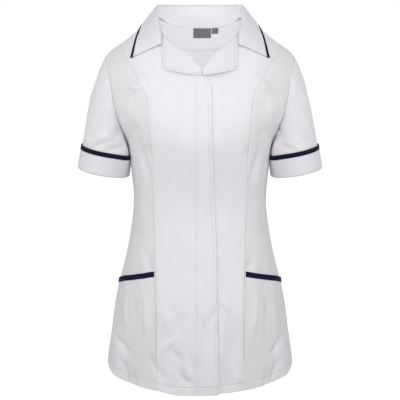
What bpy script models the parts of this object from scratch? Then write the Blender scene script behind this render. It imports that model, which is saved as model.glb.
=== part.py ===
# Medical tunic in its worn form with no wearer in it: princess-seamed fronts with a
# concealed fastening, turned collar, square reveres, short sleeves with turned-up cuffs
# and two hip pockets. Navy trim runs along the collar, the cuffs and the pocket mouths.
#
# Metres, +Z up. The front faces -Y and the wearer's left is +X. The origin is the middle
# of the neck at the height where the shoulders carry the garment. Tables are in mm.

import math
from collections import namedtuple

import bmesh
import bpy
import numpy as np

MM = 0.001

# Driving sizes, mm
CLOTH = 1.2
TRIM = 1.1
SEAM_GAP = 0.35
LAYER_GAP = 0.9
SEAM_DROP = 0.02
HEM_HEIGHT = -741.0
ARMPIT_HEIGHT = -250.0
ARCH_DROP = 130.0
SQUARENESS = 0.06
HEM_LIFT_AT_SIDE = 28.0
HEM_DIP = 3.5
HEM_DIP_ANGLE = -15.0
HEM_DIP_WIDE = 8.0
UNDERLAP_SHORT = 5.0
POCKET_BOTTOM = -675.0
BINDING_HEIGHT = 9.5
CUFF_HEIGHT = 39.3
BAND_HEIGHT = 9.5
PIPING_WIDTH = 4.0
UNDERLAP_EDGE = -10.0
VENT_TOP = -680.0
VENT_OPENING = 5.0
HEM_PER_DEGREE = 3.2

# Mesh density
LOWER_ROWS = 20
UPPER_ROWS = 12
FRONT_COLUMNS = 9
SIDE_COLUMNS = 7
BACK_COLUMNS = 26
PATH_POINTS = 121
ANGLE_STEPS = 12
MERGE = 0.00001
SIDES = {"right": -1.0, "left": 1.0}

# The body that the cloth hangs on: half width at the side, depths in front and behind
Level = namedtuple("Level", "z side front back")
LEVELS = (
    Level(-745, 199.0, 141, 138),
    Level(-700, 195.0, 137, 136),
    Level(-640, 186.0, 132, 133),
    Level(-580, 177.5, 126, 131),
    Level(-530, 166.0, 118, 126),
    Level(-480, 153.0, 110, 117),
    Level(-430, 143.5, 104, 107),
    Level(-385, 137.5, 101, 100),
    Level(-350, 136.5, 103, 98),
    Level(-310, 140.0, 110, 101),
    Level(-265, 145.5, 120, 107),
    Level(-250, 147.5, 123, 109),
    Level(-235, 153.0, 125, 111),
    Level(-215, 165.0, 125, 113),
    Level(-190, 180.0, 123, 114),
    Level(-159, 193.0, 118, 114),
    Level(-130, 201.0, 111, 112),
    Level(-100, 208.0, 104, 109),
    Level(-70, 212.0, 98, 105),
    Level(-40, 214.0, 94, 101),
    Level(0, 216.0, 92, 98),
)

# Height of the shoulder line over the half width
Shoulder = namedtuple("Shoulder", "x z")
SHOULDERS = (
    Shoulder(0, 9), Shoulder(50, 7), Shoulder(80, -1), Shoulder(100, -10), Shoulder(121, -22),
    Shoulder(150, -44), Shoulder(167, -56), Shoulder(183, -68), Shoulder(192, -79),
    Shoulder(215, -120),
)

# Seams as seen from the front, by height
Seam = namedtuple("Seam", "z x")
PRINCESS_SEAM = (
    Seam(-745, 86.5), Seam(-673, 87), Seam(-552, 87.5), Seam(-480, 90), Seam(-354, 92.6),
    Seam(-262, 95), Seam(-202, 97), Seam(-183, 98.5), Seam(-152, 102), Seam(-133, 109),
    Seam(-93, 135), Seam(-52, 157),
)
ARMHOLE = (
    Seam(-250, 147.5), Seam(-235, 150), Seam(-215, 156), Seam(-190, 164.5), Seam(-159, 171),
    Seam(-130, 175.5), Seam(-109, 181), Seam(-78, 190),
)
PLACKET_EDGE = (
    Seam(-745, 38), Seam(-548, 34), Seam(-400, 30.5), Seam(-250, 24), Seam(-112, 21.5),
)
SHOULDER_POINT = 190.0

# The side seam stays at the side down to the hip, then swings forward to the hem
SideSeam = namedtuple("SideSeam", "z angle")
SIDE_SEAM = (
    SideSeam(-745, 44.5), SideSeam(-735, 45), SideSeam(-697, 46.7), SideSeam(-668, 48.4),
    SideSeam(-645, 53), SideSeam(-620, 60), SideSeam(-590, 70), SideSeam(-555, 84),
    SideSeam(-520, 90), SideSeam(-250, 90),
)

# The neck edge of a front, from the end of the fastening along the turned-back V,
# round the neck to the shoulder: share of the edge, half width and height
NeckEdge = namedtuple("NeckEdge", "share x z")
NECK_POINT = 6 / 13
V_CENTRE = 4.0
V_TOP = 0.37
FRONT_NECK = (
    NeckEdge(0.00, 0, -98), NeckEdge(0.09, 17, -77), NeckEdge(0.17, 30, -64.5),
    NeckEdge(0.26, 46, -53), NeckEdge(V_TOP, 72.5, -29), NeckEdge(0.42, 79, -14),
    NeckEdge(NECK_POINT, 81, -1.6), NeckEdge(1.00, 157, -49.5),
)
BACK_NECK = (
    NeckEdge(0.00, 0, -20), NeckEdge(0.14, 25, -18.6), NeckEdge(0.28, 50, -14),
    NeckEdge(0.40, 71, -6), NeckEdge(NECK_POINT, 81, -1.6), NeckEdge(1.00, 190, -77.0),
)

# Soft folds of the body cloth: centre, half sizes and how far each stands out
Fold = namedtuple("Fold", "angle z wide tall out")
FOLDS = (
    Fold(-57, -690, 9, 70, 3.5), Fold(57, -700, 9, 65, 3.5),
    Fold(-20, -700, 9, 90, -3.0), Fold(10, -710, 8, 70, 3.0), Fold(24, -690, 9, 80, -2.5),
    Fold(-62, -430, 12, 22, -2.5), Fold(62, -425, 12, 22, -2.5),
    Fold(-48, -172, 7, 24, 3.0), Fold(48, -172, 7, 24, 3.0),
    Fold(-118, -360, 12, 18, -3.0), Fold(120, -372, 12, 18, -3.0),
    Fold(-135, -680, 10, 100, 5.0), Fold(-158, -700, 9, 90, -4.0), Fold(180, -690, 10, 110, 4.0),
    Fold(155, -700, 9, 90, -4.0), Fold(132, -685, 10, 100, 5.0),
    Fold(165, -400, 10, 20, -2.5), Fold(-163, -415, 10, 20, -2.5),
)

# The bust's fullness over the body's own depth
BUST_FULLNESS = 9.0
BUST_X = 84.0
BUST_Z = -212.0
BUST_WIDE = 52.0
BUST_TALL = 66.0


def smooth_read(at, knots, values):
    """Smooth curve through the values at rising knots, held at its ends."""
    knots = np.asarray(knots, float)
    values = np.asarray(values, float)
    step = np.diff(knots)
    slope = np.diff(values) / step
    tangent = np.empty_like(values)
    tangent[0] = slope[0]
    tangent[-1] = slope[-1]
    tangent[1:-1] = (slope[:-1] * step[1:] + slope[1:] * step[:-1]) / (step[:-1] + step[1:])
    at = np.clip(np.asarray(at, float), knots[0], knots[-1])
    i = np.clip(np.searchsorted(knots, at, side="right") - 1, 0, len(knots) - 2)
    t = (at - knots[i]) / step[i]
    return (
        values[i] * (1 + 2 * t) * (1 - t) ** 2
        + tangent[i] * step[i] * t * (1 - t) ** 2
        + values[i + 1] * t * t * (3 - 2 * t)
        + tangent[i + 1] * step[i] * t * t * (t - 1)
    )


def column(table, name):
    """One named column of a table."""
    return [getattr(row, name) for row in table]


def smooth_step(at, start, end):
    """Soft rise from 0 at the start to 1 at the end."""
    t = np.clip((np.asarray(at, float) - start) / (end - start), 0.0, 1.0)
    return t * t * (3 - 2 * t)


def distance_along(path):
    """Distance from the start of a path to each of its points."""
    return np.concatenate([[0], np.cumsum(np.linalg.norm(np.diff(path, axis=0), axis=1))])


def point_along(path, length, at):
    """Points of a path at distances along it."""
    return np.stack([np.interp(at, length, path[:, k]) for k in range(3)], axis=-1)


def shoulder_height(x):
    return smooth_read(np.abs(x), column(SHOULDERS, "x"), column(SHOULDERS, "z"))


def level_size(z, name):
    return smooth_read(z, column(LEVELS, "z"), column(LEVELS, name))


def fold_height(angle, z):
    """How far the soft folds stand out at an angle in degrees and a height."""
    out = np.zeros(np.broadcast(angle, z).shape)
    for fold in FOLDS:
        turn = (angle - fold.angle + 180.0) % 360.0 - 180.0
        out += fold.out * np.exp(-((turn / fold.wide) ** 2) - ((z - fold.z) / fold.tall) ** 2)
    return out


def body_point(angle, z):
    """Point of the body cloth, mm: 0 degrees is the centre front, positive to the left."""
    angle = np.asarray(angle, float)
    z = np.asarray(z, float)
    turn = np.radians(angle)
    square = 1 + SQUARENESS * np.sin(2 * turn) ** 2
    x = level_size(z, "side") * np.sin(turn) * square
    in_front = np.cos(turn) > 0
    depth = np.where(in_front, level_size(z, "front"), level_size(z, "back"))
    drop = np.clip((shoulder_height(x) - z) / ARCH_DROP, 0.0, 1.0)
    arch = np.sqrt(1 - (1 - drop) ** 2)
    y = -depth * np.cos(turn) * square * arch
    bust = BUST_FULLNESS * np.exp(
        -(((np.abs(x) - BUST_X) / BUST_WIDE) ** 2) - ((z - BUST_Z) / BUST_TALL) ** 2)
    y = y - np.where(in_front, bust * np.cos(turn), 0.0)
    fold = fold_height(angle, z) * arch
    return np.stack([x + fold * np.sin(turn), y - fold * np.cos(turn), z + 0 * x], axis=-1)


def body_normal(angle, z):
    """Outward direction of the body cloth."""
    turn = 0.5
    rise = 1.0
    z = np.asarray(z, float)
    across = body_point(angle + turn, z) - body_point(angle - turn, z)
    upward = body_point(angle, z + rise) - body_point(angle, z - 3 * rise)
    normal = np.cross(across, upward)
    return normal / np.linalg.norm(normal, axis=-1, keepdims=True)


def body_lifted(angle, z, out):
    """Point of the body cloth moved out by a distance."""
    angle, z, out = np.broadcast_arrays(np.asarray(angle, float), z, out)
    return body_point(angle, z) + body_normal(angle, z) * out[..., None]


def angle_of(x, z):
    """Angle in degrees at which the front of the body has a given x."""
    share = np.asarray(x, float) / level_size(z, "side")
    turn = np.arcsin(np.clip(share, -1, 1))
    for _ in range(ANGLE_STEPS):
        square = 1 + SQUARENESS * np.sin(2 * turn) ** 2
        turn = np.arcsin(np.clip(share / square, -1, 1))
    return np.degrees(turn)


def seam_angle(table, z):
    """Angle of a seam that is given by its x at each height."""
    return angle_of(smooth_read(z, column(table, "z"), column(table, "x")), z)


def side_seam_angle(z):
    return smooth_read(z, column(SIDE_SEAM, "z"), column(SIDE_SEAM, "angle"))


def four_sided(bottom, top, left, right, u, v):
    """Patch between four edges, each given as a function from 0 to 1."""
    corners = (
        (1 - u)[..., None] * (1 - v)[..., None] * bottom(np.zeros_like(u))
        + u[..., None] * (1 - v)[..., None] * bottom(np.ones_like(u))
        + (1 - u)[..., None] * v[..., None] * top(np.zeros_like(u))
        + u[..., None] * v[..., None] * top(np.ones_like(u)))
    return (
        (1 - v)[..., None] * bottom(u) + v[..., None] * top(u)
        + (1 - u)[..., None] * left(v) + u[..., None] * right(v) - corners)


def edge_between(low, high, angle_at):
    """Edge that runs up from one height to another along an angle for each height."""
    def edge(v):
        z = low + (high - low) * v
        return np.stack([angle_at(z), z], axis=-1)
    return edge


def level_edge(z, start, end):
    """Edge at one height from a start angle to an end angle."""
    def edge(u):
        return np.stack([start + (end - start) * u, z + 0 * u], axis=-1)
    return edge


def table_edge(table, mirror, behind, first=0.0, last=1.0):
    """Edge along a neck table, read between two shares of it; past the neck point it is
    the shoulder seam."""
    def edge(u):
        share = first + (last - first) * u
        x = smooth_read(share, column(table, "share"), column(table, "x"))
        if not behind:
            x = x + mirror * V_CENTRE * (1 - smooth_step(share, 0, V_TOP))
        z = smooth_read(share, column(table, "share"), column(table, "z"))
        ridge = shoulder_height(x) - SEAM_DROP
        z = np.where(share >= NECK_POINT, ridge, np.minimum(z, ridge))
        angle = angle_of(x, z)
        if behind:
            angle = 180.0 - angle
        return np.stack([mirror * angle, z], axis=-1)
    return edge


def even_rows(patch, lift, u, rows):
    """Rows of a patch column spaced evenly along the cloth."""
    v = np.linspace(0, 1, PATH_POINTS)
    length = distance_along(lift(patch(np.full_like(v, u), v)))
    return np.interp(np.linspace(0, length[-1], rows + 1), length, v)


def panel_grid(zones, lift, columns):
    """Points of a panel from its zones, lowest first, with the seam gap at both sides."""
    grid = []
    for u in np.linspace(0, 1, columns + 1):
        strip = []
        for patch, rows in zones:
            v = even_rows(patch, lift, u, rows)
            width = np.linalg.norm(
                lift(patch(np.ones_like(v), v)) - lift(patch(np.zeros_like(v), v)), axis=1)
            trim = SEAM_GAP / 2 / np.maximum(width, 1.0)
            points = lift(patch(trim + u * (1 - 2 * trim), v))
            strip.append(points if not strip else points[1:])
        grid.append(np.concatenate(strip))
    return np.array(grid)


# Start from an empty scene
for old in list(bpy.data.objects):
    bpy.data.objects.remove(old, do_unlink=True)

parts = bpy.data.collections.new("medical_tunic")
bpy.context.scene.collection.children.link(parts)


def finish(name, colour, roughness):
    """Plain cloth finish."""
    material = bpy.data.materials.new(name)
    material.use_nodes = True
    shader = material.node_tree.nodes["Principled BSDF"]
    shader.inputs["Base Color"].default_value = (*colour, 1.0)
    shader.inputs["Roughness"].default_value = roughness
    shader.inputs["Metallic"].default_value = 0.0
    return material


WHITE = (0.83, 0.82, 0.84)
NAVY = (0.012, 0.008, 0.04)
LABEL_GREY = (0.30, 0.29, 0.28)
TONES = {"white": (WHITE, 0.85), "navy": (NAVY, 0.75), "grey": (LABEL_GREY, 0.6)}


def sheet(name, grid, inside, tone, thickness, closed=False):
    """Cloth wall on a grid of points in mm: the grid is its outer face."""
    columns = grid.shape[0] - 1
    rows = grid.shape[1] - 1
    mesh = bpy.data.meshes.new(name)
    bm = bmesh.new()
    bmesh.ops.create_grid(bm, x_segments=columns, y_segments=rows, size=0.5)
    for vert in bm.verts:
        i = round((vert.co.x + 0.5) * columns)
        j = round((vert.co.y + 0.5) * rows)
        vert.co = grid[i, j] * MM
    if closed:
        bmesh.ops.remove_doubles(bm, verts=bm.verts, dist=MERGE)
    bm.normal_update()
    centre = np.asarray(inside, float) * MM
    facing = sum(
        face.normal.dot(face.calc_center_median() - type(face.normal)(centre)) * face.calc_area()
        for face in bm.faces)
    if facing < 0:
        bmesh.ops.reverse_faces(bm, faces=bm.faces)
    bm.to_mesh(mesh)
    bm.free()
    mesh.shade_smooth()
    colour, roughness = TONES[tone]
    mesh.materials.append(finish(name + "_cloth", colour, roughness))
    piece = bpy.data.objects.new(name, mesh)
    parts.objects.link(piece)
    wall = piece.modifiers.new("wall", "SOLIDIFY")
    wall.thickness = thickness * MM
    wall.offset = -1.0
    wall.use_even_offset = True
    return piece


def hem_height(angle):
    """The hem is lowest at the centre, with one small dip, and rises towards the sides."""
    dip = HEM_DIP * np.exp(-(((angle - HEM_DIP_ANGLE) / HEM_DIP_WIDE) ** 2))
    return HEM_HEIGHT + HEM_LIFT_AT_SIDE * np.sin(np.radians(angle)) ** 2 - dip


def hem_edge(start, end, start_rise=0.0):
    """Edge along the hem, raised at its start and level with its neighbour at its end."""
    def edge(u):
        angle = start + (end - start) * u
        z = hem_height(angle) + start_rise * (1 - smooth_step(u, 0, 1))
        return np.stack([angle, z], axis=-1)
    return edge


TORSO_MIDDLE = (0, 0, -400)
OVERLAP_RISE = CLOTH + LAYER_GAP + 0.2
RISE_START = -60.0
RISE_END = -16.0


def fastening_rise(x):
    """Rise of the upper front over the underlap."""
    return OVERLAP_RISE * smooth_step(x, RISE_START, RISE_END)


def front_lift(rises):
    """Puts a front's cloth on the body, raised where it laps over the other front."""
    def lift(place):
        angle, z = place[..., 0], place[..., 1]
        x = body_point(angle, z)[..., 0]
        out = fastening_rise(x) if rises else 0 * x
        lifted = body_lifted(angle, z, out)
        lifted[..., 1] -= SEAM_GAP
        return lifted
    return lift


def princess_angle(mirror):
    """Angle of one side's princess seam by height."""
    def angle(z):
        return mirror * seam_angle(PRINCESS_SEAM, z)
    return angle


def half_way_up(angle_at, low, high):
    """Height at which a seam has run half its length between two heights."""
    z = np.linspace(low, high, PATH_POINTS)
    length = distance_along(body_point(angle_at(z), z))
    return float(np.interp(length[-1] / 2, length, z))


def straight_edge(start, end):
    """Straight edge between two places."""
    def edge(u):
        return np.asarray(start) + u[..., None] * (np.asarray(end) - np.asarray(start))
    return edge


# Share of the chest above which the free edge turns in to the V
TURN_IN_FROM = 0.8


def front_zones(mirror, free_angle, hem_rise):
    """Zones of a centre front from its free edge to the princess seam: below the armpit,
    up to the end of the fastening, and beside the turned-back V and the neck."""
    princess = princess_angle(mirror)
    neck = table_edge(FRONT_NECK, mirror, False, last=NECK_POINT)
    shoulder = table_edge(FRONT_NECK, mirror, False, first=NECK_POINT)
    apex = neck(np.zeros(1))[0]
    seam_top = shoulder(np.ones(1))[0, 1]
    seam_middle = half_way_up(princess, ARMPIT_HEIGHT, seam_top)
    across = straight_edge(apex, (princess(seam_middle), seam_middle))
    waist_edge = level_edge(ARMPIT_HEIGHT, free_angle(ARMPIT_HEIGHT), princess(ARMPIT_HEIGHT))

    def free_edge(v):
        z = ARMPIT_HEIGHT + (apex[1] - ARMPIT_HEIGHT) * v
        turn_in = smooth_step(v, TURN_IN_FROM, 1.0)
        return np.stack([free_angle(z) * (1 - turn_in) + apex[0] * turn_in, z], axis=-1)

    def below(u, v):
        return four_sided(
            hem_edge(free_angle(HEM_HEIGHT), princess(HEM_HEIGHT), hem_rise), waist_edge,
            edge_between(hem_height(free_angle(HEM_HEIGHT)) + hem_rise, ARMPIT_HEIGHT, free_angle),
            edge_between(hem_height(princess(HEM_HEIGHT)), ARMPIT_HEIGHT, princess), u, v)

    def chest(u, v):
        return four_sided(
            waist_edge, across, free_edge,
            edge_between(ARMPIT_HEIGHT, seam_middle, princess), u, v)

    def beside_neck(u, v):
        return four_sided(
            across, shoulder, neck, edge_between(seam_middle, seam_top, princess), u, v)

    return ((below, LOWER_ROWS), (chest, UPPER_ROWS // 2), (beside_neck, UPPER_ROWS // 2))


def placket_angle(z):
    return seam_angle(PLACKET_EDGE, z)


def underlap_angle(z):
    return angle_of(UNDERLAP_EDGE, z)


right_zones = front_zones(-1.0, placket_angle, 0.0)
left_zones = front_zones(1.0, underlap_angle, UNDERLAP_SHORT)
sheet("front_right", panel_grid(right_zones, front_lift(True), FRONT_COLUMNS),
      TORSO_MIDDLE, "white", CLOTH)
sheet("front_left", panel_grid(left_zones, front_lift(False), FRONT_COLUMNS),
      TORSO_MIDDLE, "white", CLOTH)


def armhole_angle(z):
    return seam_angle(ARMHOLE, z)


SHOULDER_TOP = float(shoulder_height(SHOULDER_POINT)) - SEAM_DROP


def vent_spread(z):
    """Half the opening of the side vent at a height, as an angle."""
    return VENT_OPENING / 2 / HEM_PER_DEGREE * smooth_step(-z, -VENT_TOP, -HEM_HEIGHT)


def side_zones(mirror):
    """Lower and upper zone of a side front, from the princess seam outward."""
    princess = princess_angle(mirror)

    def side(z):
        return mirror * (side_seam_angle(z) - vent_spread(z))

    def armhole(z):
        return mirror * armhole_angle(z)

    low = side(HEM_HEIGHT)

    def lower(u, v):
        return four_sided(
            hem_edge(princess(HEM_HEIGHT), low),
            level_edge(ARMPIT_HEIGHT, princess(ARMPIT_HEIGHT), mirror * 90.0),
            edge_between(hem_height(princess(HEM_HEIGHT)), ARMPIT_HEIGHT, princess),
            edge_between(hem_height(low), ARMPIT_HEIGHT, side), u, v)

    seam_top = table_edge(FRONT_NECK, mirror, False)(np.ones(1))[0, 1]

    def shoulder(u):
        x = FRONT_NECK[-1].x + (SHOULDER_POINT - FRONT_NECK[-1].x) * u
        z = shoulder_height(x) - SEAM_DROP
        z = z * u + (1 - u) * np.minimum(z, seam_top)
        return np.stack([mirror * angle_of(x, z), z], axis=-1)

    def upper(u, v):
        return four_sided(
            level_edge(ARMPIT_HEIGHT, princess(ARMPIT_HEIGHT), mirror * 90.0), shoulder,
            edge_between(ARMPIT_HEIGHT, seam_top, princess),
            edge_between(ARMPIT_HEIGHT, SHOULDER_TOP, armhole), u, v)

    return ((lower, LOWER_ROWS), (upper, UPPER_ROWS))


for side_name, mirror in SIDES.items():
    sheet("side_front_" + side_name,
          panel_grid(side_zones(mirror), front_lift(False), SIDE_COLUMNS),
          TORSO_MIDDLE, "white", CLOTH)


# The back is one piece from side seam to side seam, right to left
def right_side_angle(z):
    return 360.0 - (side_seam_angle(z) + vent_spread(z))


def left_side_angle(z):
    return side_seam_angle(z) + vent_spread(z)


def back_below(u, v):
    low_right = right_side_angle(HEM_HEIGHT)
    low_left = left_side_angle(HEM_HEIGHT)
    return four_sided(
        hem_edge(low_right, low_left), level_edge(ARMPIT_HEIGHT, 270.0, 90.0),
        edge_between(hem_height(low_right), ARMPIT_HEIGHT, right_side_angle),
        edge_between(hem_height(low_left), ARMPIT_HEIGHT, left_side_angle), u, v)


def back_top(u):
    """Right shoulder seam, neck and left shoulder seam."""
    share = np.abs(2 * u - 1)
    place = table_edge(BACK_NECK, 1.0, True)(share)
    place[..., 0] = np.where(u < 0.5, 360.0 - place[..., 0], place[..., 0])
    return place


def back_above(u, v):
    def right_armhole(v):
        z = ARMPIT_HEIGHT + (SHOULDER_TOP - ARMPIT_HEIGHT) * v
        return np.stack([180.0 + armhole_angle(z), z], axis=-1)

    def left_armhole(v):
        z = ARMPIT_HEIGHT + (SHOULDER_TOP - ARMPIT_HEIGHT) * v
        return np.stack([180.0 - armhole_angle(z), z], axis=-1)

    return four_sided(
        level_edge(ARMPIT_HEIGHT, 270.0, 90.0), back_top, right_armhole, left_armhole, u, v)


def back_lift(place):
    lifted = body_lifted(place[..., 0], place[..., 1], 0.0)
    lifted[..., 1] += SEAM_GAP
    return lifted


back_grid = panel_grid(((back_below, LOWER_ROWS), (back_above, UPPER_ROWS)), back_lift, BACK_COLUMNS)
sheet("back", back_grid, TORSO_MIDDLE, "white", CLOTH)

# Facing inside the back neck, about 60 mm deep: the top of the back's own points, moved in
FACING_HALF_COLUMNS = 8
FACING_ROWS = 3
FACING_THICK = 1.0
FACING_SINK = CLOTH + 0.8


def grid_normals(grid):
    """Directions across an open grid's surface, away from the middle of the body."""
    normal = np.cross(np.gradient(grid, axis=0), np.gradient(grid, axis=1))
    normal /= np.linalg.norm(normal, axis=-1, keepdims=True)
    return normal * np.sign(np.sum(normal * (grid - np.array(TORSO_MIDDLE))))


def facing_grid():
    """Top rows of the back between the facing's ends, inside its cloth."""
    middle = BACK_COLUMNS // 2
    chosen = slice(middle - FACING_HALF_COLUMNS, middle + FACING_HALF_COLUMNS + 1)
    top = slice(-FACING_ROWS - 1, None)
    return (back_grid - grid_normals(back_grid) * FACING_SINK)[chosen, top]


sheet("back_facing", facing_grid(), TORSO_MIDDLE, "white", FACING_THICK)

# Blank label and size tab, hanging from the neck seam over the facing
Tag = namedtuple("Tag", "name left right top bottom columns rows")
TAGS = (
    Tag("neck_label", -14.0, 23.0, -21.3, -42.5, 5, 3),
    Tag("size_tab", 24.2, 37.5, -20.8, -34.0, 2, 2),
)
TAG_SINK = FACING_SINK + FACING_THICK + 0.8


def sunk(depth):
    """Puts a piece inside the back at a depth under its outer face."""
    def lift(place):
        return body_lifted(place[..., 0], place[..., 1], -depth)
    return lift


def tag_patch(tag):
    def patch(u, v):
        x = tag.left + (tag.right - tag.left) * u
        z = tag.bottom + (tag.top - tag.bottom) * v
        return np.stack([180.0 - angle_of(x, z), z], axis=-1)
    return patch


for tag in TAGS:
    sheet(tag.name, panel_grid(((tag_patch(tag), tag.rows),), sunk(TAG_SINK), tag.columns),
          TORSO_MIDDLE, "grey", 0.7)


# Sleeves: from the armhole to a cuff ring that hangs beside the body
CUFF_CENTRE = (198.0, -2.0, -310.0)
CUFF_LEAN = 10.5
CUFF_HALF_WIDTH = 51.5
CUFF_HALF_DEPTH = 60.0
CAP_REACH = 50.0
FRONT_REACH = 16.0
LEAVE_SHARE = 0.6
ARRIVE_SHARE = 0.9
SLEEVE_GAP = 0.8
BODY_CLEARANCE = 4.6
PRESS_ROUND = 1.0
CUFF_GAP = 1.2
SLEEVE_END = 2.0
ARM_MIDDLE = (190.0, -2.0, -250.0)

# Tucks down the inner side of a sleeve: place round it, from the armpit, and depth
Tuck = namedtuple("Tuck", "place depth")
TUCKS = (Tuck(0.13, 12.0), Tuck(0.87, 8.4))
TUCK_WIDTH = 0.08


def body_half_width(y, z):
    """Half width of the body cloth under the arm at a depth and height."""
    z = np.minimum(z, ARMPIT_HEIGHT)
    depth = np.where(y < 0, level_size(z, "front"), level_size(z, "back"))
    share = np.clip(np.abs(y) / depth, 0, 1)
    turn = np.arccos(share)
    for _ in range(ANGLE_STEPS):
        turn = np.arccos(np.clip(share / (1 + SQUARENESS * np.sin(2 * turn) ** 2), 0, 1))
    return level_size(z, "side") * np.sin(turn) * (1 + SQUARENESS * np.sin(2 * turn) ** 2)


def armhole_ring(half_count):
    """Left armhole from the armpit over the front to the shoulder and down the back."""
    def path(behind):
        z = np.linspace(ARMPIT_HEIGHT, SHOULDER_TOP, PATH_POINTS)
        angle = armhole_angle(z)
        points = body_lifted(180.0 - angle if behind else angle, z, 0.0)
        points[:, 1] += SEAM_GAP if behind else -SEAM_GAP
        length = distance_along(points)
        return point_along(points, length, np.linspace(0, length[-1], half_count + 1))

    front = path(False)
    behind = path(True)[::-1]
    shoulder = (front[-1] + behind[0]) / 2
    armpit = (front[0] + behind[-1]) / 2
    return np.concatenate([[armpit], front[1:-1], [shoulder], behind[1:-1], [armpit]])


def sleeve_paths(half_count):
    """Dense paths down the left sleeve, one for each column round it."""
    start = armhole_ring(half_count)
    round_it = np.linspace(0, 1, 2 * half_count + 1)
    turn = 2 * math.pi * round_it
    lean = math.radians(CUFF_LEAN)
    axis = np.array([math.sin(lean), 0, -math.cos(lean)])
    outer = np.array([math.cos(lean), 0, math.sin(lean)])
    end = (np.array(CUFF_CENTRE)
           - np.cos(turn)[:, None] * CUFF_HALF_WIDTH * outer
           + np.sin(turn)[:, None] * CUFF_HALF_DEPTH * np.array([0, -1.0, 0]))
    chord = end - start
    length = np.linalg.norm(chord, axis=1, keepdims=True)
    cap = ((1 - np.cos(turn)) / 2) ** 2
    leave = LEAVE_SHARE * chord
    leave[:, 0] += CAP_REACH * cap
    leave[:, 1] -= FRONT_REACH * np.sin(turn)
    arrive = axis * length * ARRIVE_SHARE
    s = np.linspace(0, 1, PATH_POINTS)[None, :, None]
    path = (
        start[:, None] * (1 + 2 * s) * (1 - s) ** 2 + leave[:, None] * s * (1 - s) ** 2
        + end[:, None] * s * s * (3 - 2 * s) + arrive[:, None] * s * s * (s - 1))
    along = s[..., 0]
    for tuck in TUCKS:
        away = (round_it - tuck.place + 0.5) % 1.0 - 0.5
        depth = tuck.depth * np.exp(-((away / TUCK_WIDTH) ** 2))
        path[..., 0] -= depth[:, None] * np.sin(math.pi * along) ** 2
    wanted = body_half_width(path[..., 1], path[..., 2])
    wanted = wanted + SLEEVE_GAP + (BODY_CLEARANCE - SLEEVE_GAP) * smooth_step(along, 0, 0.5)
    half = (path[..., 0] - wanted) / 2
    path[..., 0] = (path[..., 0] + wanted) / 2 + np.sqrt(half * half + PRESS_ROUND ** 2)
    return path


def along_sleeve(path, distance):
    """Point of one sleeve path at a distance from the cuff's edge."""
    length = distance_along(path)
    return point_along(path, length, length[-1] - np.asarray(distance, float)), length[-1]


def ring_normals(grid):
    """Outward direction on a closed ring grid of columns and rows."""
    ring = grid[:-1]
    across = np.roll(ring, -1, axis=0) - np.roll(ring, 1, axis=0)
    down = np.gradient(ring, axis=1)
    normal = np.cross(across, down)
    normal /= np.linalg.norm(normal, axis=-1, keepdims=True)
    normal = np.concatenate([normal, normal[:1]])
    away = grid - grid[:-1].mean(axis=0, keepdims=True)
    return normal * np.sign(np.sum(normal * away))


def sleeve_grid(paths, top, bottom, rows, out):
    """Grid of a sleeve layer between two distances from the cuff's edge."""
    grid = []
    for path in paths:
        length = along_sleeve(path, 0.0)[1]
        start = length - SLEEVE_GAP if top is None else top
        grid.append(along_sleeve(path, np.linspace(bottom, start, rows + 1))[0])
    grid = np.array(grid)
    return grid + ring_normals(grid) * out


SLEEVE_ROWS = 10
arm_paths = sleeve_paths(UPPER_ROWS)
Layer = namedtuple("Layer", "name top bottom rows out tone thickness")
SLEEVE_LAYERS = (
    Layer("sleeve", None, SLEEVE_END, SLEEVE_ROWS, 0.0, "white", CLOTH),
    Layer("cuff", CUFF_HEIGHT, 0.0, 5, CLOTH + CUFF_GAP, "white", CLOTH),
    Layer("cuff_band", CUFF_HEIGHT + SEAM_GAP + BAND_HEIGHT, CUFF_HEIGHT + SEAM_GAP, 1,
          CLOTH + CUFF_GAP + 0.3, "navy", TRIM),
)
for side_name, mirror in SIDES.items():
    for layer in SLEEVE_LAYERS:
        grid = sleeve_grid(arm_paths, layer.top, layer.bottom, layer.rows, layer.out)
        grid = grid * np.array([mirror, 1.0, 1.0])
        middle = (mirror * ARM_MIDDLE[0], ARM_MIDDLE[1], ARM_MIDDLE[2])
        sheet(layer.name + "_" + side_name, grid, middle, layer.tone, layer.thickness, True)


# Collar: up the stand from the neck seam, over the fold and down the fall
Station = namedtuple("Station", "share fold_x fold_y fold_z edge_x edge_y edge_z")
COLLAR = (
    Station(0.00, 0, 73, 30.5, 0, 104, -30),
    Station(0.15, 27, 69, 30.5, 36, 99, -30),
    Station(0.30, 54, 55, 30.5, 72, 83, -30),
    Station(0.45, 75, 32, 30.5, 102, 50, -26),
    Station(0.56, 84.5, 4, 28.5, 119, 8, -16),
    Station(0.66, 84, -24, 15, 123.5, -24, -27),
    Station(0.76, 82, -46, -2, 129, -44, -45),
    Station(0.87, 79, -64, -21, 133.5, -58, -63),
    Station(1.00, 76.5, -79, -49, 137, -67, -76),
)
GORGE = 0.87
SIDE_OF_NECK = 0.56
FOLD_ROUND = 8.0
FOLD_SHARE = 0.45
FOLD_POINTS = 9
COLLAR_STEPS = 18
COLLAR_ROWS = 9
FALL_STEPS = 12
NECK_LIFT = 1.7
COLLAR_CLEARANCE = 1.8
GORGE_LIFT = 3.6
GORGE_X = 74.4
GORGE_SPREAD = 1.6
GORGE_TOP = -29.0
NOTCH_HEIGHT = -51.0
PIPING_THICK = 1.6


def collar_point(share, name):
    return np.stack(
        [smooth_read(share, column(COLLAR, "share"), column(COLLAR, name + axis))
         for axis in ("_x", "_y", "_z")], axis=-1)


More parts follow.
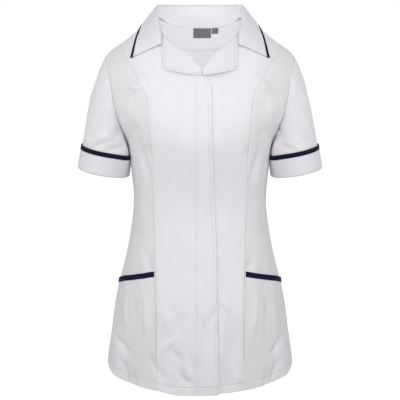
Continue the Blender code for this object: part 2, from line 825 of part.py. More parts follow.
def neck_seam_point(share):
    """Where the left half of the collar is sewn on, from the back to the notch."""
    if share <= SIDE_OF_NECK:
        place = table_edge(BACK_NECK, 1.0, True)(np.array(share / SIDE_OF_NECK * NECK_POINT))
        return body_lifted(place[0], place[1], 0.0) + (0, 0, NECK_LIFT)
    if share <= GORGE:
        run = (share - SIDE_OF_NECK) / (GORGE - SIDE_OF_NECK)
        edge = NECK_POINT + (V_TOP - NECK_POINT) * run
        place = table_edge(FRONT_NECK, 1.0, False)(np.array(edge))
        point = body_lifted(place[0], place[1], NECK_LIFT * (1 - run) + GORGE_LIFT * run)
        return point + (GORGE_SPREAD * run, 0, NECK_LIFT * (1 - run))
    run = (share - GORGE) / (1 - GORGE)
    z = GORGE_TOP + (NOTCH_HEIGHT - GORGE_TOP) * run
    return body_lifted(angle_of(GORGE_X, z), z, GORGE_LIFT)


def keep_clear(points, clearance):
    """Moves points of the left half out until they clear the body cloth."""
    x = points[:, 0]
    z = np.minimum(points[:, 2], shoulder_height(x) - 0.5)
    angle = angle_of(x, z)
    angle = np.where(points[:, 1] > 0, 180.0 - angle, angle)
    normal = body_normal(angle, z)
    above = np.sum((points - body_point(angle, z)) * normal, axis=1)
    return points + normal * np.maximum(clearance - above, 0)[:, None]


def collar_section(share):
    """Section of the left half of the collar from the neck seam to the outer edge."""
    seam = neck_seam_point(share)
    fold = collar_point(share, "fold")
    edge = collar_point(share, "edge")
    stand = np.linalg.norm(fold - seam)
    cut = min(FOLD_ROUND, FOLD_SHARE * stand)
    before = fold + (seam - fold) / stand * cut
    after = fold + (edge - fold) / np.linalg.norm(edge - fold) * cut
    t = np.linspace(0, 1, FOLD_POINTS)[:, None]
    rounded = before * (1 - t) ** 2 + 2 * fold * t * (1 - t) + after * t * t
    fall = after + (edge - after) * np.linspace(1 / FALL_STEPS, 1, FALL_STEPS)[:, None]
    return np.concatenate([[seam], rounded, keep_clear(fall, CLOTH + COLLAR_CLEARANCE)])


def even_points(path, start, end, count):
    """Evenly spaced points of a path between two distances along it."""
    length = distance_along(path)
    return point_along(path, length, np.linspace(start, length[-1] - end, count + 1))


def collar_grid(start_from_edge, end_from_edge, rows):
    """Grid round the whole collar, right notch to left notch."""
    grid = []
    for step in range(-COLLAR_STEPS, COLLAR_STEPS + 1):
        path = collar_section(abs(step) / COLLAR_STEPS)
        full = distance_along(path)[-1]
        start = 0.0 if start_from_edge is None else full - start_from_edge
        points = even_points(path, start, end_from_edge, rows)
        grid.append(points * np.array([-1.0 if step < 0 else 1.0, 1.0, 1.0]))
    return np.array(grid)


sheet("collar", collar_grid(None, PIPING_WIDTH + SEAM_GAP, COLLAR_ROWS),
      TORSO_MIDDLE, "white", CLOTH)
sheet("collar_piping", collar_grid(PIPING_WIDTH, 0.0, 1), TORSO_MIDDLE, "navy", PIPING_THICK)


# Reveres: the turned-back tops of the fronts, from the V to a square outer corner
Corner = namedtuple("Corner", "share x z")
REVERE_OUTER = (Corner(0.0, 73.6, -29.5), Corner(0.32, 73.2, -51), Corner(1.0, 69.6, -96.5))
REVERE_LOWER = (Corner(0.0, 0.4, -108.6), Corner(0.5, 35, -105.0), Corner(1.0, 69.6, -96.5))
REVERE_THICK = 1.3
REVERE_ROLL = 2.6
REVERE_COLUMNS = 6
REVERE_ROWS = 8

# The roll of the V ends this far down the revere, and turns to its lower corner from here
V_END = 0.9
CORNER_FROM = 0.88
REVERE_FLAT_FROM = 27.0
REVERE_FLAT_TO = 68.0


def corner_edge(table, mirror):
    def edge(u):
        x = smooth_read(u, column(table, "share"), column(table, "x"))
        z = smooth_read(u, column(table, "share"), column(table, "z"))
        return np.stack([mirror * x, z], axis=-1)
    return edge


def revere_patch(mirror):
    """Revere seen from the front: u runs from the V to the outer edge, v downward."""
    outer = corner_edge(REVERE_OUTER, mirror)

    def lower(u):
        x = smooth_read(u, column(REVERE_LOWER, "share"), column(REVERE_LOWER, "x"))
        z = smooth_read(u, column(REVERE_LOWER, "share"), column(REVERE_LOWER, "z"))
        return np.stack([mirror * x + V_CENTRE * (1 - u), z], axis=-1)

    def inner(v):
        share = V_TOP * (1 - np.clip(v / V_END, 0, 1))
        place = table_edge(FRONT_NECK, mirror, False)(share)
        x = body_point(place[..., 0], place[..., 1])[..., 0]
        seen = np.stack([x, place[..., 1]], axis=-1)
        drop = smooth_step(v, CORNER_FROM, 1.0)[..., None]
        return seen * (1 - drop) + lower(np.zeros(1))[0] * drop

    def upper(u):
        start = inner(np.zeros(1))[0]
        end = outer(np.zeros(1))[0]
        return start + u[..., None] * (end - start)

    def patch(u, v):
        return four_sided(upper, lower, inner, outer, u, v)
    return patch


def revere_grid(mirror):
    """Points of a revere, lifted over the front that it is turned back on."""
    u, v = np.meshgrid(
        np.linspace(0, 1, REVERE_COLUMNS + 1), np.linspace(0, 1, REVERE_ROWS + 1), indexing="ij")
    seen = revere_patch(mirror)(u, v)
    x, z = seen[..., 0], seen[..., 1]
    under = fastening_rise(x) * (1 - smooth_step(x, REVERE_FLAT_FROM, REVERE_FLAT_TO))
    out = under + LAYER_GAP + REVERE_THICK + REVERE_ROLL * np.sin(math.pi * u) ** 2
    points = body_lifted(angle_of(x, z), z, out)
    points[..., 1] -= SEAM_GAP
    return points


for side_name, mirror in SIDES.items():
    sheet("revere_" + side_name, revere_grid(mirror), TORSO_MIDDLE, "white", REVERE_THICK)


# Hip pockets, sewn into the princess and side seams, with a slanted bound mouth
MOUTH_AT_PRINCESS = -497.5
MOUTH_AT_SIDE = -536.5
POCKET_GAPE = 5.0
GAPE_ROUND = 1.2
GAPE_FADE = 5
POCKET_ROWS = 8
POCKET_INSET = 0.012
BINDING_OVER = 1.2
BINDING_RISE = 0.4


def pocket_patch(mirror):
    princess = princess_angle(mirror)

    def side(z):
        return mirror * (side_seam_angle(z) - vent_spread(z))

    def mouth(u):
        z = MOUTH_AT_PRINCESS + (MOUTH_AT_SIDE - MOUTH_AT_PRINCESS) * u
        start, end = princess(MOUTH_AT_PRINCESS), side(MOUTH_AT_SIDE)
        return np.stack([start + (end - start) * u, z], axis=-1)

    return lambda u, v: four_sided(
        level_edge(POCKET_BOTTOM, princess(POCKET_BOTTOM), side(POCKET_BOTTOM)),
        mouth, edge_between(POCKET_BOTTOM, MOUTH_AT_PRINCESS, princess),
        edge_between(POCKET_BOTTOM, MOUTH_AT_SIDE, side), u, v)


def pocket_grid(mirror, heights, extra):
    """Grid of the pocket or its binding: heights are distances below the mouth."""
    patch = pocket_patch(mirror)
    grid = []
    for u in np.linspace(POCKET_INSET, 1 - POCKET_INSET, SIDE_COLUMNS + 1):
        v = np.linspace(0, 1, PATH_POINTS)
        place = patch(np.full_like(v, u), v)
        length = distance_along(body_point(place[:, 0], place[:, 1]))
        if heights is None:
            down = np.linspace(length[-1], 0, POCKET_ROWS + 1)
        else:
            down = np.array(heights)
        at = np.interp(length[-1] - down, length, v)
        over = np.maximum(-down, 0)
        place = patch(np.full_like(at, u), at)
        gape = POCKET_GAPE * math.sin(math.pi * u) ** GAPE_ROUND * at ** GAPE_FADE
        points = body_lifted(place[:, 0], place[:, 1], CLOTH + LAYER_GAP + extra + gape)
        points[:, 1] -= SEAM_GAP
        points[:, 2] += over
        grid.append(points)
    return np.array(grid)


for side_name, mirror in SIDES.items():
    sheet("pocket_" + side_name, pocket_grid(mirror, None, 0.0), TORSO_MIDDLE, "white", CLOTH)
    sheet("pocket_binding_" + side_name,
          pocket_grid(mirror, (BINDING_HEIGHT, BINDING_HEIGHT / 2, -BINDING_OVER),
                      TRIM + BINDING_RISE),
          TORSO_MIDDLE, "navy", TRIM)
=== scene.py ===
# Medical tunic dressed for the camera: white polyester cotton cut in panels, with navy trim,
# in its worn form with no wearer in it. Tables are in millimetres, +Z up, with the front at
# -Y and the wearer's left at +X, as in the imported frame; MM takes them to metres.

import math
from collections import namedtuple

import bmesh
import bpy
import numpy as np
from mathutils import Matrix, Vector


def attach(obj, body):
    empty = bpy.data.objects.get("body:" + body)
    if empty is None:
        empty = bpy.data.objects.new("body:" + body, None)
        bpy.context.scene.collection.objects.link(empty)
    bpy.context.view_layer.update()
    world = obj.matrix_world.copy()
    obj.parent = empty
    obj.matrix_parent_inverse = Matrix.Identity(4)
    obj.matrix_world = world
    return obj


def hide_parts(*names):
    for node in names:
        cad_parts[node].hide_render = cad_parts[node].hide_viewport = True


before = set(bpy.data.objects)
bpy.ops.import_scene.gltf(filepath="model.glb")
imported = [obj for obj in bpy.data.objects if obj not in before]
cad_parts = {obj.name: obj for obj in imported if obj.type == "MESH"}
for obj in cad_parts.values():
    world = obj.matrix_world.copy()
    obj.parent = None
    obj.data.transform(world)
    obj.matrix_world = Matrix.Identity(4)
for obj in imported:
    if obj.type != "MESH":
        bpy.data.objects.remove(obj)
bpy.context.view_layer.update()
MM = 0.001


# Camera: about two metres in front of the tunic, looking a little down on it, as in the
# photograph. The long lens shows the panels nearly flat on.
VIEW_TARGET = Vector((0.0, 0.0, -0.37))
VIEW_DISTANCE = 2.034
VIEW_ELEVATION = math.radians(10.5)
LENS = 88.5

camera_data = bpy.data.cameras.new("camera")
camera_data.lens = LENS
camera = bpy.data.objects.new("camera", camera_data)
toward_camera = Vector((0.0, -math.cos(VIEW_ELEVATION), math.sin(VIEW_ELEVATION)))
camera.location = VIEW_TARGET + toward_camera * VIEW_DISTANCE
camera.rotation_euler = (-toward_camera).to_track_quat("-Z", "Y").to_euler()
bpy.context.scene.collection.objects.link(camera)
bpy.context.scene.camera = camera


# Studio: a pale floor below the hem that shines as in a white cove but throws no light back
# on the cloth, wide soft lamps in front, at both sides and behind, and a small one inside that
# fills the neck. The tones are shown as they are, with no film curve.
FLOOR_HEIGHT = -1.02
FLOOR_HALF = 30.0
FLOOR_TONE = (0.93, 0.93, 0.93)
FLOOR_ROUGH = 0.9
FLOOR_GLOW = 0.74
SEEN_TONE = (1.0, 1.0, 1.0)
ROOM_TONE = (1.0, 0.975, 0.995)
ROOM_STRENGTH = 0.385
Lamp = namedtuple("Lamp", "name place target wide tall watts")
LAMPS = (
    Lamp("front", (0.0, -1.15, -0.07), (0, 0, -0.04), 2.2, 0.9, 9.6),
    Lamp("right_side", (-1.65, -0.8, 0.9), (0, 0, 0.1), 1.0, 1.3, 13.8),
    Lamp("left_side", (1.65, -0.8, 0.9), (0, 0, 0.1), 1.0, 1.3, 12.6),
    Lamp("back", (0.1, 1.6, 0.35), (0, 0, -0.15), 2.0, 1.2, 13.0),
    Lamp("neck", (0, -0.05, -0.17), (0, 0.085, -0.04), 0.14, 0.05, 0.19),
)

bpy.context.scene.view_settings.view_transform = "Standard"
world = bpy.data.worlds.new("studio")
world.use_nodes = True
world_tree = world.node_tree
room = world_tree.nodes["Background"]
room.inputs["Color"].default_value = (*ROOM_TONE, 1.0)
room.inputs["Strength"].default_value = ROOM_STRENGTH
seen = world_tree.nodes.new("ShaderNodeBackground")
seen.inputs["Color"].default_value = (*SEEN_TONE, 1.0)
choice = world_tree.nodes.new("ShaderNodeMixShader")
light_path = world_tree.nodes.new("ShaderNodeLightPath")
world_tree.links.new(light_path.outputs["Is Camera Ray"], choice.inputs[0])
world_tree.links.new(room.outputs[0], choice.inputs[1])
world_tree.links.new(seen.outputs[0], choice.inputs[2])
world_tree.links.new(choice.outputs[0], world_tree.nodes["World Output"].inputs["Surface"])
bpy.context.scene.world = world

for lamp in LAMPS:
    light = bpy.data.lights.new(lamp.name, "AREA")
    light.shape = "RECTANGLE"
    light.size = lamp.wide
    light.size_y = lamp.tall
    light.energy = lamp.watts
    holder = bpy.data.objects.new(lamp.name, light)
    holder.location = lamp.place
    aim = Vector(lamp.target) - Vector(lamp.place)
    holder.rotation_euler = aim.to_track_quat("-Z", "Y").to_euler()
    bpy.context.scene.collection.objects.link(holder)

floor_form = bmesh.new()
bmesh.ops.create_grid(floor_form, x_segments=1, y_segments=1, size=FLOOR_HALF)
bmesh.ops.translate(floor_form, verts=floor_form.verts, vec=(0, 0, FLOOR_HEIGHT))
floor_mesh = bpy.data.meshes.new("floor")
floor_form.to_mesh(floor_mesh)
floor_form.free()
floor = bpy.data.objects.new("floor", floor_mesh)
floor_paint = bpy.data.materials.new("floor_paint")
floor_paint.use_nodes = True
floor_shader = floor_paint.node_tree.nodes["Principled BSDF"]
floor_shader.inputs["Base Color"].default_value = (*FLOOR_TONE, 1.0)
floor_shader.inputs["Roughness"].default_value = FLOOR_ROUGH
floor_shader.inputs["Emission Color"].default_value = (*FLOOR_TONE, 1.0)
floor_shader.inputs["Emission Strength"].default_value = FLOOR_GLOW
floor_mesh.materials.append(floor_paint)
bpy.context.scene.collection.objects.link(floor)
floor.visible_diffuse = False


# Back: one panel of white cloth from side seam to side seam, shaped by two long waist darts
# and finished with a turned hem. It is the first piece laid on the body's form, so the form,
# the cloth, its weave and its sewing are all worked out here.
CLOTH_THICK = 0.7
SEAM_GAP = 0.12
SEAM_DROP = 0.0002
HEM_HEIGHT = -741.0
HEM_LIFT_AT_SIDE = 28.0
HEM_DIP = 3.5
HEM_DIP_ANGLE = -15.0
HEM_DIP_WIDE = 8.0
HEM_STITCH = 17.0
ARMPIT_HEIGHT = -250.0
ARCH_DROP = 130.0
SQUARENESS = 0.06
SHOULDER_POINT = 190.0
VENT_TOP = -676.0
VENT_WIDEST = -720.0
VENT_OPENING = 13.0
VENT_LAP = 25.0
VENT_SINK = 12.0
VENT_ROLL = 2.8
VENT_BEND_TO = 14.0
VENT_BEND_FROM = 25.0
HEM_PER_DEGREE = 3.2
TORSO_MIDDLE = (0, 0, -400)
PATH_POINTS = 161
ANGLE_STEPS = 12

# The form under the cloth: half width at the side, depths in front and behind
Level = namedtuple("Level", "z side front back")
LEVELS = (
    Level(-745, 199.0, 141, 138),
    Level(-700, 195.0, 137, 136),
    Level(-640, 186.0, 132, 133),
    Level(-580, 177.5, 126, 131),
    Level(-530, 166.0, 118, 126),
    Level(-480, 153.0, 110, 117),
    Level(-430, 143.5, 104, 107),
    Level(-385, 137.5, 101, 100),
    Level(-350, 136.5, 103, 98),
    Level(-310, 140.0, 110, 101),
    Level(-265, 145.5, 120, 107),
    Level(-250, 147.5, 123, 109),
    Level(-235, 153.0, 125, 111),
    Level(-215, 165.0, 125, 113),
    Level(-190, 180.0, 123, 114),
    Level(-159, 193.0, 118, 114),
    Level(-130, 201.0, 111, 112),
    Level(-100, 208.0, 104, 109),
    Level(-70, 212.0, 98, 105),
    Level(-40, 214.0, 94, 101),
    Level(0, 216.0, 92, 98),
)

# Height of the shoulder line over the half width
Shoulder = namedtuple("Shoulder", "x z")
SHOULDERS = (
    Shoulder(0, 9), Shoulder(50, 7), Shoulder(80, -1), Shoulder(100, -10), Shoulder(121, -22),
    Shoulder(150, -44), Shoulder(167, -56), Shoulder(183, -68), Shoulder(192, -79),
    Shoulder(215, -120),
)

# The armhole as seen from the front, by height, and the side seam's angle round the body
Seam = namedtuple("Seam", "z x")
ARMHOLE = (
    Seam(-250, 147.5), Seam(-235, 150), Seam(-215, 156), Seam(-190, 164.5), Seam(-159, 171),
    Seam(-130, 175.5), Seam(-109, 181), Seam(-78, 190),
)
SideSeam = namedtuple("SideSeam", "z angle")
SIDE_SEAM = (
    SideSeam(-745, 44.5), SideSeam(-735, 45), SideSeam(-697, 46.7), SideSeam(-668, 48.4),
    SideSeam(-645, 53), SideSeam(-620, 60), SideSeam(-590, 70), SideSeam(-555, 84),
    SideSeam(-520, 90), SideSeam(-250, 90),
)

# Neck edge of the back from its centre, and past the neck point the shoulder seam
NeckEdge = namedtuple("NeckEdge", "share x z")
NECK_POINT = 6 / 13
BACK_NECK = (
    NeckEdge(0.00, 0, -20), NeckEdge(0.14, 25, -18.6), NeckEdge(0.28, 50, -14),
    NeckEdge(0.40, 71, -6), NeckEdge(NECK_POINT, 81, -1.6), NeckEdge(1.00, 190, -77.0),
)

# Large soft folds of the body cloth: centre, half sizes and how far each stands out
Fold = namedtuple("Fold", "angle z wide tall out")
FOLDS = (
    Fold(-57, -690, 9, 70, 3.5), Fold(57, -700, 9, 65, 3.5),
    Fold(-20, -700, 9, 90, -3.0), Fold(10, -710, 8, 70, 3.0), Fold(24, -690, 9, 80, -2.5),
    Fold(-62, -430, 12, 22, -2.5), Fold(62, -425, 12, 22, -2.5),
    Fold(-48, -172, 7, 24, 3.0), Fold(48, -172, 7, 24, 3.0),
    Fold(-118, -360, 12, 18, -3.0), Fold(120, -372, 12, 18, -3.0),
    Fold(-135, -680, 10, 100, 5.0), Fold(-158, -700, 9, 90, -4.0), Fold(180, -690, 10, 110, 4.0),
    Fold(155, -700, 9, 90, -4.0), Fold(132, -685, 10, 100, 5.0),
    Fold(165, -400, 10, 20, -2.5), Fold(-163, -415, 10, 20, -2.5),
)

# Creases, each along a line: its middle, its lean from straight down, its length and half
# width, and how far it stands out as a ridge or lies in as a trough
Crease = namedtuple("Crease", "angle z lean length wide out")
CREASES = (
    # from the shoulders to the bust, and from the armholes
    Crease(-34, -106, 30, 47, 9, -2.6), Crease(34, -106, -24, 44, 9, -2.4),
    Crease(-36, -128, 96, 52, 8, 2.0), Crease(36, -129, 83, 50, 8, 2.0),
    Crease(-50, -155, 113, 57, 6, -1.8), Crease(50, -158, -113, 59, 6, -1.6),
    Crease(-44, -204, -41, 87, 12, -2.0), Crease(44, -205, 39, 77, 12, -1.8),
    Crease(-55, -195, -8, 35, 7, 1.2), Crease(56, -195, 5, 35, 7, 1.2),
    # down the side fronts, with a trough beside the princess seam under the bust
    Crease(-46, -282, 2, 104, 8, -2.4), Crease(46, -284, -2, 100, 8, -2.2),
    Crease(-39, -260, -14, 59, 8, -1.5), Crease(38, -260, 13, 58, 8, -1.5),
    Crease(-52, -322, -6, 94, 10, 1.2), Crease(50, -322, 6, 94, 10, 1.2),
    Crease(-77, -403, 6, 72, 10, -1.0), Crease(79, -402, -28, 95, 10, -1.0),
    Crease(-39, -482, 34, 31, 6, -2.2), Crease(38, -482, -32, 30, 6, -2.2),
    # down the lower fronts
    Crease(-19, -640, -34, 70, 7, 1.3), Crease(-9, -706, 40, 40, 6, -1.4),
    Crease(17, -560, 28, 66, 7, 1.2), Crease(22, -708, 30, 44, 7, 1.3),
    Crease(8, -585, -40, 52, 6, -1.2), Crease(-26, -690, 24, 66, 7, -1.3),
    Crease(-14, -608, -22, 73, 9, -1.6), Crease(2, -612, 13, 55, 6, -1.5),
    Crease(-1, -660, 3, 102, 9, 1.6), Crease(-14, -667, 23, 42, 8, -1.5),
    Crease(-7, -688, 6, 78, 8, 1.2), Crease(14, -640, -6, 109, 7, 1.4),
    Crease(12, -630, 22, 44, 5, -1.3), Crease(20, -656, 8, 94, 9, -1.4),
    Crease(-23, -567, 11, 90, 12, 1.2),
    # over the pockets
    Crease(-45, -576, 7, 86, 7, -1.6), Crease(45, -576, -7, 86, 7, -1.6),
    Crease(-36, -585, 10, 99, 6, 1.4), Crease(36, -584, -10, 100, 6, 1.4),
    Crease(-54, -578, 9, 91, 7, 1.3), Crease(54, -578, -8, 91, 7, 1.3),
    Crease(-54, -653, 64, 73, 7, -2.4), Crease(53, -652, -65, 72, 7, -2.0),
    # behind: drag lines at the waist, under the arms and from the shoulder blades
    Crease(-150, -352, 68, 92, 7, -2.0), Crease(149, -366, -71, 84, 7, -2.2),
    Crease(-146, -384, 74, 70, 6, 1.6), Crease(151, -398, -66, 78, 6, 1.5),
    Crease(176, -372, 88, 66, 7, -1.8), Crease(-176, -402, 95, 54, 6, 1.3),
    Crease(-112, -232, 48, 66, 7, -1.8), Crease(114, -238, -46, 60, 7, -1.7),
    Crease(-122, -196, 30, 58, 8, 1.4), Crease(121, -204, -32, 62, 8, 1.3),
    Crease(-152, -470, 24, 84, 9, -1.3), Crease(154, -478, -18, 92, 9, -1.4),
    Crease(-168, -560, 8, 130, 10, 1.4), Crease(172, -590, -6, 150, 9, -1.3),
    Crease(-128, -610, 10, 120, 8, -1.5), Crease(126, -600, -9, 130, 8, -1.4),
    Crease(-143, -640, 5, 110, 8, 1.3), Crease(142, -636, -6, 104, 8, 1.3),
)
CREASE_FULLNESS = 2.1
CREASE_SWAY = 0.4
SWAY_TURNS = 2.2
CREASE_UNEVEN = 0.35
UNEVEN_TURNS = 3.1
BUST_FULLNESS = 7.0
BUST_X = 84.0
BUST_Z = -212.0
BUST_WIDE = 52.0
BUST_TALL = 66.0


def smooth_read(at, knots, values):
    """Smooth curve through the values at rising knots, held at its ends."""
    knots = np.asarray(knots, float)
    values = np.asarray(values, float)
    step = np.diff(knots)
    slope = np.diff(values) / step
    tangent = np.empty_like(values)
    tangent[0] = slope[0]
    tangent[-1] = slope[-1]
    tangent[1:-1] = (slope[:-1] * step[1:] + slope[1:] * step[:-1]) / (step[:-1] + step[1:])
    at = np.clip(np.asarray(at, float), knots[0], knots[-1])
    i = np.clip(np.searchsorted(knots, at, side="right") - 1, 0, len(knots) - 2)
    t = (at - knots[i]) / step[i]
    return (
        values[i] * (1 + 2 * t) * (1 - t) ** 2
        + tangent[i] * step[i] * t * (1 - t) ** 2
        + values[i + 1] * t * t * (3 - 2 * t)
        + tangent[i + 1] * step[i] * t * t * (t - 1)
    )


def column(table, name):
    """One named column of a table."""
    return [getattr(row, name) for row in table]


def smooth_step(at, start, end):
    """Soft rise from 0 at the start to 1 at the end."""
    t = np.clip((np.asarray(at, float) - start) / (end - start), 0.0, 1.0)
    return t * t * (3 - 2 * t)


def distance_along(path):
    """Distance from the start of a path to each of its points."""
    return np.concatenate([[0], np.cumsum(np.linalg.norm(np.diff(path, axis=0), axis=1))])


def point_along(path, length, at):
    """Points of a path at distances along it."""
    return np.stack([np.interp(at, length, path[:, k]) for k in range(3)], axis=-1)


def shoulder_height(x):
    return smooth_read(np.abs(x), column(SHOULDERS, "x"), column(SHOULDERS, "z"))


def level_size(z, name):
    return smooth_read(z, column(LEVELS, "z"), column(LEVELS, name))


def crease_height(across, down, crease):
    """How far a crease stands out at distances aside from its middle and below it."""
    lean = math.radians(crease.lean)
    along = (down * math.cos(lean) + across * math.sin(lean)) / (crease.length / 2)
    aside = (across * math.cos(lean) - down * math.sin(lean)) / crease.wide
    aside = aside + CREASE_SWAY * np.sin(SWAY_TURNS * along + crease.length)
    uneven = 1 + CREASE_UNEVEN * np.sin(UNEVEN_TURNS * along + crease.wide)
    return CREASE_FULLNESS * crease.out * uneven * np.exp(-(aside ** 2) - along ** 2)


def fold_height(angle, z):
    """How far the folds and creases stand out at an angle in degrees and a height."""
    out = np.zeros(np.broadcast(angle, z).shape)
    for fold in FOLDS:
        turn = (angle - fold.angle + 180.0) % 360.0 - 180.0
        out += fold.out * np.exp(-((turn / fold.wide) ** 2) - ((z - fold.z) / fold.tall) ** 2)
    per_degree = level_size(z, "side") * math.pi / 180
    for crease in CREASES:
        turn = (angle - crease.angle + 180.0) % 360.0 - 180.0
        out += crease_height(turn * per_degree, crease.z - z, crease)
    return out


def body_point(angle, z):
    """Point of the body cloth, mm: 0 degrees is the centre front, positive to the left."""
    angle = np.asarray(angle, float)
    z = np.asarray(z, float)
    turn = np.radians(angle)
    square = 1 + SQUARENESS * np.sin(2 * turn) ** 2
    x = level_size(z, "side") * np.sin(turn) * square
    in_front = np.cos(turn) > 0
    depth = np.where(in_front, level_size(z, "front"), level_size(z, "back"))
    drop = np.clip((shoulder_height(x) - z) / ARCH_DROP, 0.0, 1.0)
    arch = np.sqrt(1 - (1 - drop) ** 2)
    y = -depth * np.cos(turn) * square * arch
    bust = BUST_FULLNESS * np.exp(
        -(((np.abs(x) - BUST_X) / BUST_WIDE) ** 2) - ((z - BUST_Z) / BUST_TALL) ** 2)
    y = y - np.where(in_front, bust * np.cos(turn), 0.0)
    fold = fold_height(angle, z) * arch
    return np.stack([x + fold * np.sin(turn), y - fold * np.cos(turn), z + 0 * x], axis=-1)


def body_normal(angle, z):
    """Outward direction of the body cloth."""
    turn = 0.5
    rise = 1.0
    z = np.asarray(z, float)
    across = body_point(angle + turn, z) - body_point(angle - turn, z)
    upward = body_point(angle, z + rise) - body_point(angle, z - 3 * rise)
    normal = np.cross(across, upward)
    return normal / np.linalg.norm(normal, axis=-1, keepdims=True)


def body_lifted(angle, z, out):
    """Point of the body cloth moved out by a distance."""
    angle, z, out = np.broadcast_arrays(np.asarray(angle, float), z, out)
    return body_point(angle, z) + body_normal(angle, z) * out[..., None]


def angle_of(x, z):
    """Angle in degrees at which the front of the body has a given x."""
    share = np.asarray(x, float) / level_size(z, "side")
    turn = np.arcsin(np.clip(share, -1, 1))
    for _ in range(ANGLE_STEPS):
        square = 1 + SQUARENESS * np.sin(2 * turn) ** 2
        turn = np.arcsin(np.clip(share / square, -1, 1))
    return np.degrees(turn)


def seam_angle(table, z):
    """Angle of a seam that is given by its x at each height."""
    return angle_of(smooth_read(z, column(table, "z"), column(table, "x")), z)


def armhole_angle(z):
    return seam_angle(ARMHOLE, z)


def side_seam_angle(z):
    return smooth_read(z, column(SIDE_SEAM, "z"), column(SIDE_SEAM, "angle"))


def vent_spread(z):
    """Half the opening of the side vent at a height, as an angle."""
    return VENT_OPENING / 2 / HEM_PER_DEGREE * smooth_step(-z, -VENT_TOP, -VENT_WIDEST)


def hem_height(angle):
    """The hem is lowest at the centre, with one small dip, and rises towards the sides."""
    dip = HEM_DIP * np.exp(-(((angle - HEM_DIP_ANGLE) / HEM_DIP_WIDE) ** 2))
    return HEM_HEIGHT + HEM_LIFT_AT_SIDE * np.sin(np.radians(angle)) ** 2 - dip


def four_sided(bottom, top, left, right, u, v):
    """Patch between four edges, each given as a function from 0 to 1."""
    corners = (
        (1 - u)[..., None] * (1 - v)[..., None] * bottom(np.zeros_like(u))
        + u[..., None] * (1 - v)[..., None] * bottom(np.ones_like(u))
        + (1 - u)[..., None] * v[..., None] * top(np.zeros_like(u))
        + u[..., None] * v[..., None] * top(np.ones_like(u)))
    return (
        (1 - v)[..., None] * bottom(u) + v[..., None] * top(u)
        + (1 - u)[..., None] * left(v) + u[..., None] * right(v) - corners)


def edge_between(low, high, angle_at):
    """Edge that runs up from one height to another along an angle for each height."""
    def edge(v):
        z = low + (high - low) * v
        return np.stack([angle_at(z), z], axis=-1)
    return edge


def level_edge(z, start, end):
    """Edge at one height from a start angle to an end angle."""
    def edge(u):
        return np.stack([start + (end - start) * u, z + 0 * u], axis=-1)
    return edge


def hem_edge(start, end, start_rise=0.0):
    """Edge along the hem, raised at its start and level with its neighbour at its end."""
    def edge(u):
        angle = start + (end - start) * u
        z = hem_height(angle) + start_rise * (1 - smooth_step(u, 0, 1))
        return np.stack([angle, z], axis=-1)
    return edge


def neck_edge(table, first=0.0, last=1.0, mirror=1.0, centre=0.0, until=1.0, behind=False):
    """Edge along a neck table, read between two shares of it, whose start may lie beside
    the middle; past the neck point it is the shoulder seam."""
    def edge(u):
        share = first + (last - first) * u
        x = smooth_read(share, column(table, "share"), column(table, "x"))
        x = x + mirror * centre * (1 - smooth_step(share, 0, until))
        z = smooth_read(share, column(table, "share"), column(table, "z"))
        ridge = shoulder_height(x) - SEAM_DROP
        z = np.where(share >= NECK_POINT, ridge, np.minimum(z, ridge))
        angle = angle_of(x, z)
        return np.stack([mirror * (180.0 - angle if behind else angle), z], axis=-1)
    return edge


# Distances from a turned edge at which the cloth gets its close rows
CLOSE_ROWS = (0.0, 0.35, 0.8, 1.5, 2.6)


def shares(count, length, low=True, high=True):
    """Shares from 0 to 1 over a length, close together at a turned low or high end."""
    close = np.array(CLOSE_ROWS) / length
    start = close if low else close[:1]
    end = 1 - close[::-1] if high else 1 - close[:1]
    return np.concatenate([start[:-1], np.linspace(start[-1], end[0], count + 1), end[1:]])


def panel_grid(zones, lift, across):
    """Points of a panel from its zones, lowest first, with the seam gap at both sides."""
    dense = np.linspace(0, 1, PATH_POINTS)
    parts = []
    for patch, upward in zones:
        u, v = np.meshgrid(across, dense, indexing="ij")
        paths = lift(patch(u, v))
        width = np.linalg.norm(paths[-1] - paths[0], axis=-1)
        rows = []
        for path in paths:
            length = distance_along(path)
            rows.append(np.interp(upward * length[-1], length, dense))
        v = np.array(rows)
        trim = SEAM_GAP / 2 / np.maximum(np.interp(v, dense, width), 1.0)
        points = lift(patch(trim + across[:, None] * (1 - 2 * trim), v))
        parts.append(points if not parts else points[:, 1:])
    return np.concatenate(parts, axis=1)


def facing_sign(grid, inside):
    """1 where a grid's own normals point away from a point inside, and -1 where not."""
    faces = np.cross(np.diff(grid, axis=0)[:, :-1], np.diff(grid, axis=1)[:-1])
    return math.copysign(1.0, np.sum(faces * (grid[:-1, :-1] - np.asarray(inside))))


def grid_normals(grid, inside, ring=False):
    """Directions out of a grid's surface, which on a ring run on round it."""
    if ring:
        around = np.roll(grid[:-1], -1, axis=0) - np.roll(grid[:-1], 1, axis=0)
        around = np.concatenate([around, around[:1]])
    else:
        around = np.gradient(grid, axis=0)
    normal = np.cross(around, np.gradient(grid, axis=1))
    normal /= np.maximum(np.linalg.norm(normal, axis=-1, keepdims=True), 1e-9)
    return normal * facing_sign(grid, inside)


def edge_distances(grid):
    """Distance of each point along the cloth from the left, right, lower and upper edge."""
    across = np.linalg.norm(np.diff(grid, axis=0), axis=-1)
    across = np.concatenate([np.zeros((1, grid.shape[1])), np.cumsum(across, axis=0)])
    upward = np.linalg.norm(np.diff(grid, axis=1), axis=-1)
    upward = np.concatenate([np.zeros((grid.shape[0], 1)), np.cumsum(upward, axis=1)], axis=1)
    return {
        "left": across, "right": across[-1:] - across,
        "bottom": upward, "top": upward[:, -1:] - upward}


